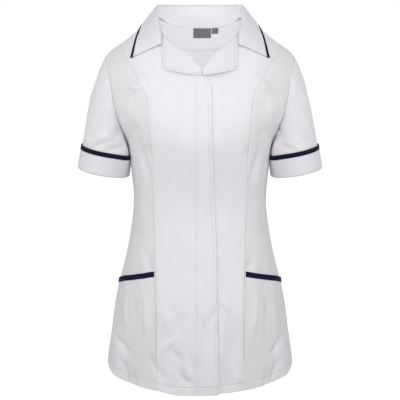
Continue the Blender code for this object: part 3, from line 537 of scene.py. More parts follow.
def rolled(grid, inside, ring=False, **depths):
    """Turns the named edges in by a depth, as a fold or as cloth pressed into a seam."""
    reach = edge_distances(grid)
    sink = np.zeros(grid.shape[:2])
    for edge, depth in depths.items():
        near = np.clip(1 - reach[edge] / (3.0 * abs(depth)), 0, 1)
        sink += depth * (1 - np.sqrt(1 - near ** 2))
    return grid - grid_normals(grid, inside, ring) * sink[..., None]


def node(tree, kind, inputs=(), **settings):
    """Adds a node and gives its inputs values, or links to other nodes' outputs."""
    made = tree.nodes.new(kind)
    for name, value in settings.items():
        setattr(made, name, value)
    for socket, value in dict(inputs).items():
        if isinstance(value, bpy.types.NodeSocket):
            tree.links.new(value, made.inputs[socket])
        else:
            made.inputs[socket].default_value = value
    return made


def calc(tree, operation, *values):
    """One step of arithmetic on sockets or numbers."""
    return node(tree, "ShaderNodeMath", enumerate(values), operation=operation).outputs[0]


def blend_of(tree, share, first, second):
    """Colour between two colours."""
    return node(
        tree, "ShaderNodeMix", {0: share, 6: (*first, 1.0), 7: (*second, 1.0)},
        data_type="RGBA").outputs[2]


def new_group(name, inputs, outputs):
    """Node group with named inputs, each with its socket kind, and plain value outputs."""
    group = bpy.data.node_groups.new(name, "ShaderNodeTree")
    for socket, kind in inputs:
        group.interface.new_socket(socket, in_out="INPUT", socket_type="NodeSocket" + kind)
    for socket in outputs:
        group.interface.new_socket(socket, in_out="OUTPUT", socket_type="NodeSocketFloat")
    return group, node(group, "NodeGroupInput").outputs


# Thick places of the yarn: how many in a metre along it and across it
SLUBS_ALONG = 9.0
SLUBS_ACROSS = 700.0


def plain_weave():
    """Threads that cross over and under in every square, some thicker than others."""
    group, given = new_group(
        "plain_weave", (("Place", "Vector"), ("Thread", "Float")), ("Height", "Slub"))
    axes = node(group, "ShaderNodeSeparateXYZ", {0: given["Place"]}).outputs
    waves = []
    for axis in ("X", "Y"):
        turns = calc(group, "DIVIDE", axes[axis], given["Thread"])
        waves.append(calc(group, "SINE", calc(group, "MULTIPLY", turns, math.pi)))
    height = calc(group, "MULTIPLY_ADD", calc(group, "MULTIPLY", *waves), 0.5, 0.5)
    slubs = []
    for stretch in ((SLUBS_ALONG, SLUBS_ACROSS, 1.0), (SLUBS_ACROSS, SLUBS_ALONG, 1.0)):
        laid = node(group, "ShaderNodeMapping", {"Vector": given["Place"], "Scale": stretch})
        slubs.append(node(
            group, "ShaderNodeTexNoise",
            {"Vector": laid.outputs[0], "Scale": 1.0, "Detail": 2.0}).outputs[0])
    slub = calc(group, "MULTIPLY", calc(group, "ADD", *slubs), 0.5)
    node(group, "NodeGroupOutput", {"Height": height, "Slub": slub})
    return group


# Unevenness left by wear and pressing: how many swells and small dents in a metre
SWELLS = 27.0
SWELL_SHAPE = {"Detail": 3.0, "Roughness": 0.45, "Distortion": 0.6}
SWELL_STRETCH = (1.0, 0.55, 1.0)
DENTS = 170.0
DENT_SHAPE = {"Detail": 2.0, "Roughness": 0.5}
DENT_SHARE = 0.16


def pressed_cloth():
    """The faint unevenness that stays in pressed cloth after wear."""
    group, given = new_group("pressed_cloth", (("Place", "Vector"),), ("Height", "Tone"))
    laid = node(group, "ShaderNodeMapping", {"Vector": given["Place"], "Scale": SWELL_STRETCH})
    broad = node(
        group, "ShaderNodeTexNoise",
        {"Vector": laid.outputs[0], "Scale": SWELLS, **SWELL_SHAPE}).outputs[0]
    fine = node(
        group, "ShaderNodeTexNoise",
        {"Vector": laid.outputs[0], "Scale": DENTS, **DENT_SHAPE}).outputs[0]
    height = calc(group, "MULTIPLY_ADD", fine, DENT_SHARE, broad)
    node(group, "NodeGroupOutput", {"Height": height, "Tone": broad})
    return group


def needle_line():
    """The groove that a row of stitches draws into the cloth at a distance from an edge."""
    group, given = new_group(
        "needle_line", (("Reach", "Float"), ("Distance", "Float"), ("Half Width", "Float")),
        ("Groove",))
    away = calc(group, "SUBTRACT", given["Reach"], given["Distance"])
    away = calc(group, "DIVIDE", away, given["Half Width"])
    square = calc(group, "MULTIPLY", calc(group, "MULTIPLY", away, away), -1.0)
    node(group, "NodeGroupOutput", {"Groove": calc(group, "EXPONENT", square)})
    return group


WEAVE = plain_weave()
PRESSED = pressed_cloth()
NEEDLE = needle_line()
WHITE = (0.80, 0.795, 0.81)
WHITE_SHADED = (0.72, 0.71, 0.745)
THREAD_SPACING = 0.42
GROOVE_HALF = 0.9
DOUBLED_LIGHTER = 0.22
PRESSED_SHADE = 0.5
SLUB_SHADE = 0.35
# How much a stitch groove darkens the colour: painted shade in the groove
GROOVE_PAINTED_SHADE = 0.3
PRESSED_DEPTH = 3.2
GROOVE_DEPTH = 0.45
THREAD_DEPTH = 0.05
THREAD_RELIEF = 0.5
SLUB_ROUGHER = 0.12
SHEEN_ROUGH = 0.45


def cloth_finish(name, tone, shaded, lines=(), rough=0.82, sheen=0.12, gloss=0.28, doubled=()):
    """Woven cloth: lines are its rows of stitches, each an edge and its distance from it.
    Within the doubled distances of an edge it is folded double, and so a little lighter."""
    material = bpy.data.materials.new(name)
    material.use_nodes = True
    tree = material.node_tree
    shader = tree.nodes["Principled BSDF"]
    place = node(tree, "ShaderNodeUVMap", uv_map="cloth").outputs[0]
    weave = node(tree, "ShaderNodeGroup", node_tree=WEAVE)
    tree.links.new(place, weave.inputs["Place"])
    weave.inputs["Thread"].default_value = THREAD_SPACING * MM
    pressed = node(tree, "ShaderNodeGroup", node_tree=PRESSED)
    tree.links.new(place, pressed.inputs["Place"])
    # Base colour share: random tone from wear and pressing, to which the stitch grooves add painted
    # shade below
    wear_and_painted_shade = calc(tree, "MULTIPLY_ADD", pressed.outputs["Tone"], PRESSED_SHADE,
                calc(tree, "MULTIPLY", weave.outputs["Slub"], SLUB_SHADE))
    relief = node(
        tree, "ShaderNodeBump",
        {"Height": pressed.outputs["Height"], "Strength": 1.0, "Distance": PRESSED_DEPTH * MM})
    groove = None
    for edge, distance in lines:
        line = node(tree, "ShaderNodeGroup", node_tree=NEEDLE)
        reach = node(tree, "ShaderNodeAttribute", attribute_name="from_" + edge).outputs["Fac"]
        tree.links.new(reach, line.inputs["Reach"])
        line.inputs["Distance"].default_value = distance * MM
        line.inputs["Half Width"].default_value = GROOVE_HALF * MM
        found = line.outputs["Groove"]
        groove = found if groove is None else calc(tree, "MAXIMUM", groove, found)
    if groove is not None:
        # Painted shade: the colour is darkened along each stitch groove, on top of its bump
        wear_and_painted_shade = calc(tree, "MULTIPLY_ADD", groove, GROOVE_PAINTED_SHADE, wear_and_painted_shade)
        relief = node(
            tree, "ShaderNodeBump",
            {"Height": groove, "Strength": 1.0, "Distance": GROOVE_DEPTH * MM,
             "Normal": relief.outputs[0]}, invert=True)
    relief = node(
        tree, "ShaderNodeBump",
        {"Height": weave.outputs["Height"], "Strength": THREAD_RELIEF,
         "Distance": THREAD_DEPTH * MM, "Normal": relief.outputs[0]})
    for edge, distance in doubled:
        reach = node(tree, "ShaderNodeAttribute", attribute_name="from_" + edge).outputs["Fac"]
        within = calc(tree, "LESS_THAN", reach, distance * MM)
        wear_and_painted_shade = calc(tree, "MULTIPLY_ADD", within, -DOUBLED_LIGHTER, wear_and_painted_shade)
    tree.links.new(blend_of(tree, wear_and_painted_shade, tone, shaded), shader.inputs["Base Color"])
    tree.links.new(
        calc(tree, "MULTIPLY_ADD", weave.outputs["Slub"], SLUB_ROUGHER,
             rough - SLUB_ROUGHER / 2),
        shader.inputs["Roughness"])
    tree.links.new(relief.outputs[0], shader.inputs["Normal"])
    shader.inputs["Sheen Weight"].default_value = sheen
    shader.inputs["Sheen Roughness"].default_value = SHEEN_ROUGH
    shader.inputs["Specular IOR Level"].default_value = gloss
    return material


# Points of a ring's first and last column closer than this are one point
SAME_POINT = 0.02


def cloth_piece(name, grid, inside, finish, thick, ring=False, extra=()):
    """Cloth wall whose outer face lies on a grid of points in mm. Each point keeps its
    distance from every edge, and from any extra line that is sewn along."""
    columns = grid.shape[0] - 1
    rows = grid.shape[1] - 1
    mesh = bpy.data.meshes.new(name)
    form = bmesh.new()
    bmesh.ops.create_grid(form, x_segments=columns, y_segments=rows, size=0.5)
    form.to_mesh(mesh)
    flat = np.empty(len(mesh.vertices) * 3)
    mesh.vertices.foreach_get("co", flat)
    i = np.rint((flat[0::3] + 0.5) * columns).astype(int)
    j = np.rint((flat[1::3] + 0.5) * rows).astype(int)
    mesh.vertices.foreach_set("co", (grid[i, j] * MM).ravel())
    reach = edge_distances(grid)
    laid = np.stack([(reach["left"] - reach["right"]) / 2, reach["bottom"]], axis=-1) * MM
    corner = np.empty(len(mesh.loops), np.int32)
    mesh.loops.foreach_get("vertex_index", corner)
    mesh.uv_layers.new(name="cloth").data.foreach_set("uv", laid[i, j][corner].ravel())
    for edge, values in {**reach, **dict(extra)}.items():
        mesh.attributes.new("from_" + edge, "FLOAT", "POINT").data.foreach_set(
            "value", (values[i, j] * MM).ravel())
    form.clear()
    form.from_mesh(mesh)
    if ring:
        bmesh.ops.remove_doubles(form, verts=form.verts, dist=SAME_POINT * MM)
    if facing_sign(grid, inside) < 0:
        bmesh.ops.reverse_faces(form, faces=form.faces)
    form.to_mesh(mesh)
    form.free()
    mesh.shade_smooth()
    mesh.materials.append(finish)
    piece = bpy.data.objects.new(name, mesh)
    bpy.context.scene.collection.objects.link(piece)
    wall = piece.modifiers.new("wall", "SOLIDIFY")
    wall.thickness = thick * MM
    wall.offset = -1.0
    return piece


def wear(piece, node_name):
    """Puts a cloth piece in the place of its solid, with the size that it was cut to."""
    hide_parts(node_name)
    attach(piece, "root")


# Sewing thread: lock stitches about 3 mm long that sink a little into the cloth
STITCH_PITCH = 3.2
STITCH_LENGTH = 2.5
STITCH_RADIUS = 0.17
STITCH_PROUD = 0.35
TWISTS = 2600.0
THREAD_ROUGH = 0.6
THREAD_SHEEN = 0.2


def thread_finish(name, tone, shaded):
    """Spun thread with a fine twist."""
    material = bpy.data.materials.new(name)
    material.use_nodes = True
    tree = material.node_tree
    shader = tree.nodes["Principled BSDF"]
    place = node(tree, "ShaderNodeTexCoord").outputs["Object"]
    twist = node(tree, "ShaderNodeTexNoise", {"Vector": place, "Scale": TWISTS, "Detail": 1.0})
    colour = blend_of(tree, twist.outputs[0], tone, shaded)
    tree.links.new(colour, shader.inputs["Base Color"])
    shader.inputs["Roughness"].default_value = THREAD_ROUGH
    shader.inputs["Sheen Weight"].default_value = THREAD_SHEEN
    return material


def round_bead():
    """Small round bead that is drawn out into each stitch."""
    mesh = bpy.data.meshes.new("bead")
    form = bmesh.new()
    bmesh.ops.create_icosphere(form, subdivisions=1, radius=1.0)
    form.to_mesh(mesh)
    form.free()
    return mesh


BEAD = round_bead()
SPUN_WHITE = (0.84, 0.835, 0.85)
SPUN_WHITE_SHADED = (0.72, 0.715, 0.745)
WHITE_THREAD = thread_finish("white_thread", SPUN_WHITE, SPUN_WHITE_SHADED)
LOOK_AHEAD = 0.5


def sewn_path(grid, inside, edge, distance, ring=False, reach=None):
    """Points and outward directions of a row of stitches at a distance from an edge, or
    where a rising reach of another kind has that value."""
    normals = grid_normals(grid, inside, ring)
    if reach is None:
        reach = edge_distances(grid)[edge]
    if edge in ("bottom", "top"):
        grid, normals, reach = (
            grid.transpose(1, 0, 2), normals.transpose(1, 0, 2), reach.transpose(1, 0))
    if edge in ("right", "top"):
        grid, normals, reach = grid[::-1], normals[::-1], reach[::-1]
    points, directions = [], []
    for k in range(grid.shape[1]):
        points.append(point_along(grid[:, k], reach[:, k], distance))
        directions.append(point_along(normals[:, k], reach[:, k], distance))
    return np.array(points), np.array(directions)


def part_of(path, keep):
    """The part of a sewn path whose points pass a test."""
    points, directions = path
    chosen = keep(points)
    return points[chosen], directions[chosen]


def add_stitches(form, path, pitch=STITCH_PITCH, long=STITCH_LENGTH, slant=0.0,
                 radius=STITCH_RADIUS):
    """Adds a row of stitches to a form: each is a bead of thread drawn out along the row."""
    points, directions = path
    length = distance_along(points)
    for start in np.arange(pitch / 2, length[-1] - pitch / 2, pitch):
        middle = point_along(points, length, start)
        ahead = point_along(points, length, start + LOOK_AHEAD) - middle
        up = point_along(directions, length, start)
        up /= np.linalg.norm(up)
        ahead -= up * np.dot(up, ahead)
        ahead /= np.linalg.norm(ahead)
        lay = ahead * math.cos(slant) + np.cross(up, ahead) * math.sin(slant)
        place = np.eye(4)
        place[:3, 0] = lay * long / 2
        place[:3, 1] = np.cross(up, lay) * radius
        place[:3, 2] = up * radius
        place[:3, 3] = middle + up * radius * STITCH_PROUD
        place[:3] *= MM
        bead = BEAD.copy()
        bead.transform(Matrix(place))
        form.from_mesh(bead)
        bpy.data.meshes.remove(bead)


def sew(name, rows, finish=WHITE_THREAD):
    """One piece with several rows of stitches, each row a path and its own settings."""
    form = bmesh.new()
    for path, settings in rows:
        add_stitches(form, path, **settings)
    mesh = bpy.data.meshes.new(name)
    form.to_mesh(mesh)
    form.free()
    mesh.shade_smooth()
    mesh.materials.append(finish)
    thread = bpy.data.objects.new(name, mesh)
    bpy.context.scene.collection.objects.link(thread)
    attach(thread, "root")
    return thread


SHOULDER_TOP = float(shoulder_height(SHOULDER_POINT)) - SEAM_DROP
SEAM_ROLL = 0.75
HEM_ROLL = 0.45
LOWER_SHARES = shares(130, 500.0, high=False)
UPPER_SHARES = shares(64, 240.0, low=False)
BACK_WIDTH = 560.0
BACK_COLUMNS = 124
DART_PLACE = 0.128
DART_TOP = 560.0
DART_FOOT = 170.0
DART_FADE = 85.0
DART_DEPTH = 1.3
DART_HALF = 1.6
DART_SWELL = 1.1
DART_SWELL_AT = 5.5
DART_SWELL_HALF = 4.0
DART_COLUMNS = (-4.0, -2.2, -1.1, -0.4, 0.4, 1.1, 2.2, 4.0)


def left_side_angle(z):
    """Edge of the back, which runs on a little under the front beside the vent."""
    return side_seam_angle(z) - VENT_LAP / VENT_OPENING * vent_spread(z) * 2


def right_side_angle(z):
    return 360.0 - left_side_angle(z)


def bent_at_vent(grid, edges, depth):
    """Bends a panel's vent edges in by a depth."""
    reach = edge_distances(grid)
    away = np.min([reach[edge] for edge in edges], axis=0)
    low = smooth_step(-grid[..., 2], -VENT_TOP, -VENT_WIDEST)
    sink = depth * low * (1 - smooth_step(away, VENT_BEND_TO, VENT_BEND_FROM))
    return grid - grid_normals(grid, TORSO_MIDDLE) * sink[..., None]


def back_below(u, v):
    """Back from the hem to the armpits."""
    low_right = right_side_angle(HEM_HEIGHT)
    low_left = left_side_angle(HEM_HEIGHT)
    return four_sided(
        hem_edge(low_right, low_left), level_edge(ARMPIT_HEIGHT, 270.0, 90.0),
        edge_between(hem_height(low_right), ARMPIT_HEIGHT, right_side_angle),
        edge_between(hem_height(low_left), ARMPIT_HEIGHT, left_side_angle), u, v)


def back_top(u):
    """Right shoulder seam, neck and left shoulder seam."""
    place = neck_edge(BACK_NECK, behind=True)(np.abs(2 * u - 1))
    place[..., 0] = np.where(u < 0.5, 360.0 - place[..., 0], place[..., 0])
    return place


def back_above(u, v):
    """Back from the armpits to the shoulders and the neck."""
    def armhole(side):
        def edge(v):
            z = ARMPIT_HEIGHT + (SHOULDER_TOP - ARMPIT_HEIGHT) * v
            return np.stack([180.0 + side * armhole_angle(z), z], axis=-1)
        return edge

    return four_sided(
        level_edge(ARMPIT_HEIGHT, 270.0, 90.0), back_top, armhole(1.0), armhole(-1.0), u, v)


def back_lift(place):
    lifted = body_lifted(place[..., 0], place[..., 1], 0.0)
    lifted[..., 1] += SEAM_GAP
    return lifted


def back_columns():
    """Columns across the back, close together at its seams and along its darts."""
    across = shares(BACK_COLUMNS, BACK_WIDTH)
    for centre in (0.5 - DART_PLACE, 0.5 + DART_PLACE):
        near = np.abs(across - centre) * BACK_WIDTH < DART_SWELL_AT
        dart = centre + np.array(DART_COLUMNS) / BACK_WIDTH
        across = np.sort(np.concatenate([across[~near], dart]))
    return across


def with_darts(grid, across):
    """Presses the two stitched darts into the back, pointed at both ends."""
    up = edge_distances(grid)["bottom"]
    taper = (smooth_step(up, DART_FOOT, DART_FOOT + DART_FADE)
             * (1 - smooth_step(up, DART_TOP - DART_FADE, DART_TOP)))
    away = (np.abs(across - 0.5) - DART_PLACE) * BACK_WIDTH
    groove = -DART_DEPTH * np.exp(-((away / DART_HALF) ** 2))
    swell = DART_SWELL * np.exp(-(((away - DART_SWELL_AT) / DART_SWELL_HALF) ** 2))
    out = (groove + swell)[:, None] * taper
    return grid + grid_normals(grid, TORSO_MIDDLE) * out[..., None]


back_across = back_columns()
back_grid = with_darts(
    panel_grid(((back_below, LOWER_SHARES), (back_above, UPPER_SHARES)), back_lift, back_across),
    back_across)
back_grid = bent_at_vent(back_grid, ("left", "right"), VENT_SINK)
back_grid = rolled(back_grid, TORSO_MIDDLE, left=SEAM_ROLL, right=SEAM_ROLL, top=SEAM_ROLL,
                   bottom=HEM_ROLL)
body_cloth = cloth_finish("body_cloth", WHITE, WHITE_SHADED, (("bottom", HEM_STITCH),),
                          doubled=(("bottom", HEM_STITCH),))
back = cloth_piece("back_panel", back_grid, TORSO_MIDDLE, body_cloth, CLOTH_THICK)
back_sewing = sew("back_hem_stitches", (
    (sewn_path(back_grid, TORSO_MIDDLE, "bottom", HEM_STITCH), {}),))
wear(back, "back")


# Back facing: a shaped strip of the same cloth, about 60 mm deep, sewn inside the back neck
# and overlocked along its seam. It shows through the neck opening.
FACING_HALF = 8 / 26
FACING_DEEP = 62.0
FACING_SINK = 1.0
FACING_THICK = 0.6
FACING_EDGE_STITCH = 3.0
OVERLOCK_IN = 2.4
OVERLOCK = {"pitch": 1.5, "long": 3.4, "slant": 1.15, "radius": 0.15}

facing_columns = np.abs(back_across - 0.5) <= FACING_HALF
facing_rows = edge_distances(back_grid)["top"][len(back_grid) // 2] <= FACING_DEEP
facing_grid = back_grid - grid_normals(back_grid, TORSO_MIDDLE) * FACING_SINK
facing_grid = facing_grid[facing_columns][:, facing_rows]
facing_cloth = cloth_finish("facing_cloth", WHITE, WHITE_SHADED, (("bottom", FACING_EDGE_STITCH),))
facing = cloth_piece("neck_facing", facing_grid, TORSO_MIDDLE, facing_cloth, FACING_THICK)
facing_inner = facing_grid - grid_normals(facing_grid, TORSO_MIDDLE) * FACING_THICK
facing_sewing = sew("neck_seam_overlock", tuple(
    ((points, -directions), settings)
    for (points, directions), settings in (
        (sewn_path(facing_inner, TORSO_MIDDLE, "top", OVERLOCK_IN), OVERLOCK),
        (sewn_path(facing_inner, TORSO_MIDDLE, "bottom", FACING_EDGE_STITCH), {}))))
wear(facing, "back_facing")


# Neck label and size tab: a woven grey label and a small tab, both left blank, caught into
# the back neck seam and hanging over the facing.
Tag = namedtuple("Tag", "piece node left right top bottom")
TAGS = (
    Tag("blank_label", "neck_label", -14.0, 23.0, -19.2, -39.8),
    Tag("blank_tab", "size_tab", 24.2, 37.5, -18.9, -30.6),
)
TAG_SINK = 2.2
TAG_THICK = 0.4
TAG_CELL = 1.2
TAG_GREY = (0.165, 0.158, 0.165)
TAG_GREY_SHADED = (0.12, 0.115, 0.12)
TAG_ROUGH = 0.55


def tag_grid(tag):
    """Points of a tag, which curves with the neck and hangs nearly flat."""
    x = tag.left + (tag.right - tag.left) * shares(
        int((tag.right - tag.left) / TAG_CELL), tag.right - tag.left)
    z = tag.bottom + (tag.top - tag.bottom) * shares(
        int((tag.top - tag.bottom) / TAG_CELL), tag.top - tag.bottom)
    x, z = np.meshgrid(x, z, indexing="ij")
    return body_lifted(180.0 - angle_of(x, z), z, -TAG_SINK)


for tag in TAGS:
    tag_cloth = cloth_finish(tag.piece + "_cloth", TAG_GREY, TAG_GREY_SHADED, rough=TAG_ROUGH)
    grid = tag_grid(tag)
    piece = cloth_piece(tag.piece, grid, TORSO_MIDDLE, tag_cloth, TAG_THICK)
    wear(piece, tag.node)


# Side fronts: shaped panels of white cloth between the princess seam and the side seam, with
# the armhole cut into their upper outer edge. Their seams are pressed open.
SIDES = {"right": -1.0, "left": 1.0}
PRINCESS_SEAM = (
    Seam(-745, 86.5), Seam(-673, 87), Seam(-552, 87.5), Seam(-480, 90), Seam(-354, 92.6),
    Seam(-262, 95), Seam(-202, 97), Seam(-183, 98.5), Seam(-152, 102), Seam(-133, 109),
    Seam(-93, 135), Seam(-52, 157),
)
V_CENTRE = 4.0
V_TOP = 0.37

# Neck edge of a front, from the end of the fastening along the turned-back V, round the
# neck to the shoulder
FRONT_NECK = (
    NeckEdge(0.00, 0, -98), NeckEdge(0.09, 17, -77), NeckEdge(0.17, 30, -64.5),
    NeckEdge(0.26, 46, -53), NeckEdge(V_TOP, 72.5, -29), NeckEdge(0.42, 79, -14),
    NeckEdge(NECK_POINT, 81, -1.6), NeckEdge(1.00, 157, -49.5),
)
# Side fronts and pockets are a greyer white than the centre fronts: painted shade for cloth that
# turns away from the light
SIDE_PAINTED_SHADE_WHITE = (0.76, 0.755, 0.765)
SIDE_SHADED = (0.68, 0.67, 0.70)
SIDE_COLUMNS = 40
SIDE_WIDTH = 90.0
SIDE_SHARES = shares(SIDE_COLUMNS, SIDE_WIDTH)


def front_edge(mirror, first=0.0, last=1.0):
    """Neck and shoulder edge of a front between two shares of it."""
    return neck_edge(FRONT_NECK, first, last, mirror, V_CENTRE, V_TOP)


def princess_angle(mirror):
    """Angle of one side's princess seam by height."""
    def angle(z):
        return mirror * seam_angle(PRINCESS_SEAM, z)
    return angle


def side_angle(mirror):
    """Angle of one side front's outer edge by height, which opens at the vent."""
    def angle(z):
        return mirror * (side_seam_angle(z) - vent_spread(z))
    return angle


def side_zones(mirror):
    """Lower and upper zone of a side front, from the princess seam outward."""
    princess = princess_angle(mirror)
    side = side_angle(mirror)

    def armhole(z):
        return mirror * armhole_angle(z)

    low = side(HEM_HEIGHT)

    def lower(u, v):
        return four_sided(
            hem_edge(princess(HEM_HEIGHT), low),
            level_edge(ARMPIT_HEIGHT, princess(ARMPIT_HEIGHT), mirror * 90.0),
            edge_between(hem_height(princess(HEM_HEIGHT)), ARMPIT_HEIGHT, princess),
            edge_between(hem_height(low), ARMPIT_HEIGHT, side), u, v)

    seam_top = front_edge(mirror)(np.ones(1))[0, 1]

    def shoulder(u):
        x = FRONT_NECK[-1].x + (SHOULDER_POINT - FRONT_NECK[-1].x) * u
        z = shoulder_height(x) - SEAM_DROP
        z = z * u + (1 - u) * np.minimum(z, seam_top)
        return np.stack([mirror * angle_of(x, z), z], axis=-1)

    def upper(u, v):
        return four_sided(
            level_edge(ARMPIT_HEIGHT, princess(ARMPIT_HEIGHT), mirror * 90.0), shoulder,
            edge_between(ARMPIT_HEIGHT, seam_top, princess),
            edge_between(ARMPIT_HEIGHT, SHOULDER_TOP, armhole), u, v)

    return ((lower, LOWER_SHARES), (upper, UPPER_SHARES))


def front_lift(place):
    lifted = body_lifted(place[..., 0], place[..., 1], 0.0)
    lifted[..., 1] -= SEAM_GAP
    return lifted


# Greyer cloth for the side fronts: painted shade where they turn away
side_painted_shade_cloth = cloth_finish("side_painted_shade_cloth", SIDE_PAINTED_SHADE_WHITE, SIDE_SHADED, (("bottom", HEM_STITCH),),
                          doubled=(("bottom", HEM_STITCH),))
for side_name, mirror in SIDES.items():
    grid = panel_grid(side_zones(mirror), front_lift, SIDE_SHARES)
    grid = bent_at_vent(grid, ("right",), VENT_ROLL)
    grid = rolled(grid, TORSO_MIDDLE, left=SEAM_ROLL, right=SEAM_ROLL, top=SEAM_ROLL,
                  bottom=HEM_ROLL)
    piece = cloth_piece("side_panel_" + side_name, grid, TORSO_MIDDLE, side_painted_shade_cloth, CLOTH_THICK)
    hem_sewing = sew("side_hem_stitches_" + side_name, (
        (sewn_path(grid, TORSO_MIDDLE, "bottom", HEM_STITCH), {}),))
    wear(piece, "side_front_" + side_name)


# Hip pockets: a square of white cloth sewn into the princess seam and the side seam over
# each side front. Its slanted mouth gapes a little and is bound in navy, with a row of navy
# stitches along the binding. Its bottom lies flat and shows only beside the princess seam.
MOUTH_AT_PRINCESS = -497.5
MOUTH_AT_SIDE = -536.5
POCKET_BOTTOM = -675.0
POCKET_GAPE = 5.0
GAPE_ROUND = 1.2
GAPE_FADE = 5
POCKET_INSET = 0.012
POCKET_OUT = 0.5
POCKET_THICK = 0.4
POCKET_ROLL = 0.5
POCKET_STITCH = 2.2
POCKET_FLAT = 0.12
FLAT_FROM = 0.06
FLAT_TO = 0.2
FLAT_HIGH = 40.0
BINDING_HEIGHT = 9.5
BINDING_OVER = 1.2
BINDING_OUT = 1.0
BINDING_ROLL = 0.5
POCKET_COLUMNS = 34
POCKET_WIDTH = 95.0
POCKET_ROWS = 52
POCKET_DEEP = 160.0
BINDING_ROWS = 4
NAVY = (0.006, 0.005, 0.020)
NAVY_SHADED = (0.013, 0.011, 0.034)
NAVY_SURFACE = {"rough": 0.9, "sheen": 0.02, "gloss": 0.08}
SPUN_NAVY = (0.022, 0.019, 0.052)
SPUN_NAVY_SHADED = (0.01, 0.008, 0.028)
NAVY_THREAD = thread_finish("navy_thread", SPUN_NAVY, SPUN_NAVY_SHADED)
TRIM_THICK = 0.8
TRIM_STITCH = 1.3

# Short gathers under the binding: place across, half width, length and how far out
Gather = namedtuple("Gather", "share wide tall out")
GATHERS = (
    Gather(0.10, 0.022, 26.0, 1.2), Gather(0.17, 0.018, 34.0, -1.3), Gather(0.25, 0.026, 22.0, 1.0),
    Gather(0.37, 0.024, 30.0, -0.9), Gather(0.52, 0.030, 24.0, 0.9), Gather(0.66, 0.024, 30.0, -1.0),
    Gather(0.79, 0.020, 24.0, 1.0), Gather(0.89, 0.018, 30.0, -1.1),
)


def pocket_patch(mirror):
    """Pocket from the princess seam outward, with its slanted mouth at the top."""
    princess = princess_angle(mirror)
    side = side_angle(mirror)

    def mouth(u):
        z = MOUTH_AT_PRINCESS + (MOUTH_AT_SIDE - MOUTH_AT_PRINCESS) * u
        start, end = princess(MOUTH_AT_PRINCESS), side(MOUTH_AT_SIDE)
        return np.stack([start + (end - start) * u, z], axis=-1)

    return lambda u, v: four_sided(
        level_edge(POCKET_BOTTOM, princess(POCKET_BOTTOM), side(POCKET_BOTTOM)),
        mouth, edge_between(POCKET_BOTTOM, MOUTH_AT_PRINCESS, princess),
        edge_between(POCKET_BOTTOM, MOUTH_AT_SIDE, side), u, v)


def pocket_grid(mirror, from_mouth, to_mouth, upward, rise):
    """Pocket cloth or binding between two distances below the mouth, lower one first."""
    patch = pocket_patch(mirror)
    dense = np.linspace(0, 1, PATH_POINTS)
    across = POCKET_INSET + (1 - 2 * POCKET_INSET) * shares(POCKET_COLUMNS, POCKET_WIDTH)
    u, v = np.meshgrid(across, dense, indexing="ij")
    place = patch(u, v)
    heights, downs = [], []
    for path in body_point(place[..., 0], place[..., 1]):
        length = distance_along(path)
        low = length[-1] if from_mouth is None else from_mouth
        down = low + (to_mouth - low) * upward
        downs.append(down)
        heights.append(np.interp(length[-1] - down, length, dense))
    v, down = np.array(heights), np.array(downs)
    u = np.broadcast_to(across[:, None], v.shape)
    flat = np.zeros_like(v)
    if from_mouth is None:
        up = down[:, :1] - down
        flat = smooth_step(u, FLAT_FROM, FLAT_TO) * (1 - smooth_step(up, 0, FLAT_HIGH))
    out = rise + (POCKET_FLAT - rise) * flat
    gape = POCKET_GAPE * np.sin(math.pi * u) ** GAPE_ROUND * v ** GAPE_FADE
    for gather in GATHERS:
        fade = np.exp(-((np.maximum(down, 0) / gather.tall) ** 2))
        gape = gape + gather.out * fade * np.exp(-(((u - gather.share) / gather.wide) ** 2))
    place = patch(u, v)
    points = body_lifted(place[..., 0], place[..., 1], out + gape)
    points[..., 1] -= SEAM_GAP
    points[..., 2] += np.maximum(-down, 0)
    return points


for side_name, mirror in SIDES.items():
    grid = pocket_grid(mirror, None, 0.0, shares(POCKET_ROWS, POCKET_DEEP), POCKET_OUT)
    grid = rolled(grid, TORSO_MIDDLE, left=POCKET_ROLL, right=POCKET_ROLL)
    # The pockets take the side fronts' greyer white: painted shade
    pocket_cloth = cloth_finish("pocket_cloth_" + side_name, SIDE_PAINTED_SHADE_WHITE, SIDE_SHADED,
                                (("left", POCKET_STITCH),))
    pocket = cloth_piece("hip_pocket_" + side_name, grid, TORSO_MIDDLE, pocket_cloth, POCKET_THICK)
    pocket_sewing = sew("hip_pocket_stitches_" + side_name, (
        (sewn_path(grid, TORSO_MIDDLE, "left", POCKET_STITCH), {}),))
    wear(pocket, "pocket_" + side_name)
    grid = pocket_grid(mirror, BINDING_HEIGHT, -BINDING_OVER,
                       shares(BINDING_ROWS, BINDING_HEIGHT), POCKET_OUT + BINDING_OUT)
    grid = rolled(grid, TORSO_MIDDLE, bottom=BINDING_ROLL, top=BINDING_ROLL)
    binding_cloth = cloth_finish("pocket_binding_cloth_" + side_name, NAVY, NAVY_SHADED,
                                 (("bottom", TRIM_STITCH),), **NAVY_SURFACE)
    binding = cloth_piece("mouth_binding_" + side_name, grid, TORSO_MIDDLE, binding_cloth,
                          TRIM_THICK)
    binding_sewing = sew("mouth_binding_stitches_" + side_name, (
        (sewn_path(grid, TORSO_MIDDLE, "bottom", TRIM_STITCH), {}),), NAVY_THREAD)
    wear(binding, "pocket_binding_" + side_name)


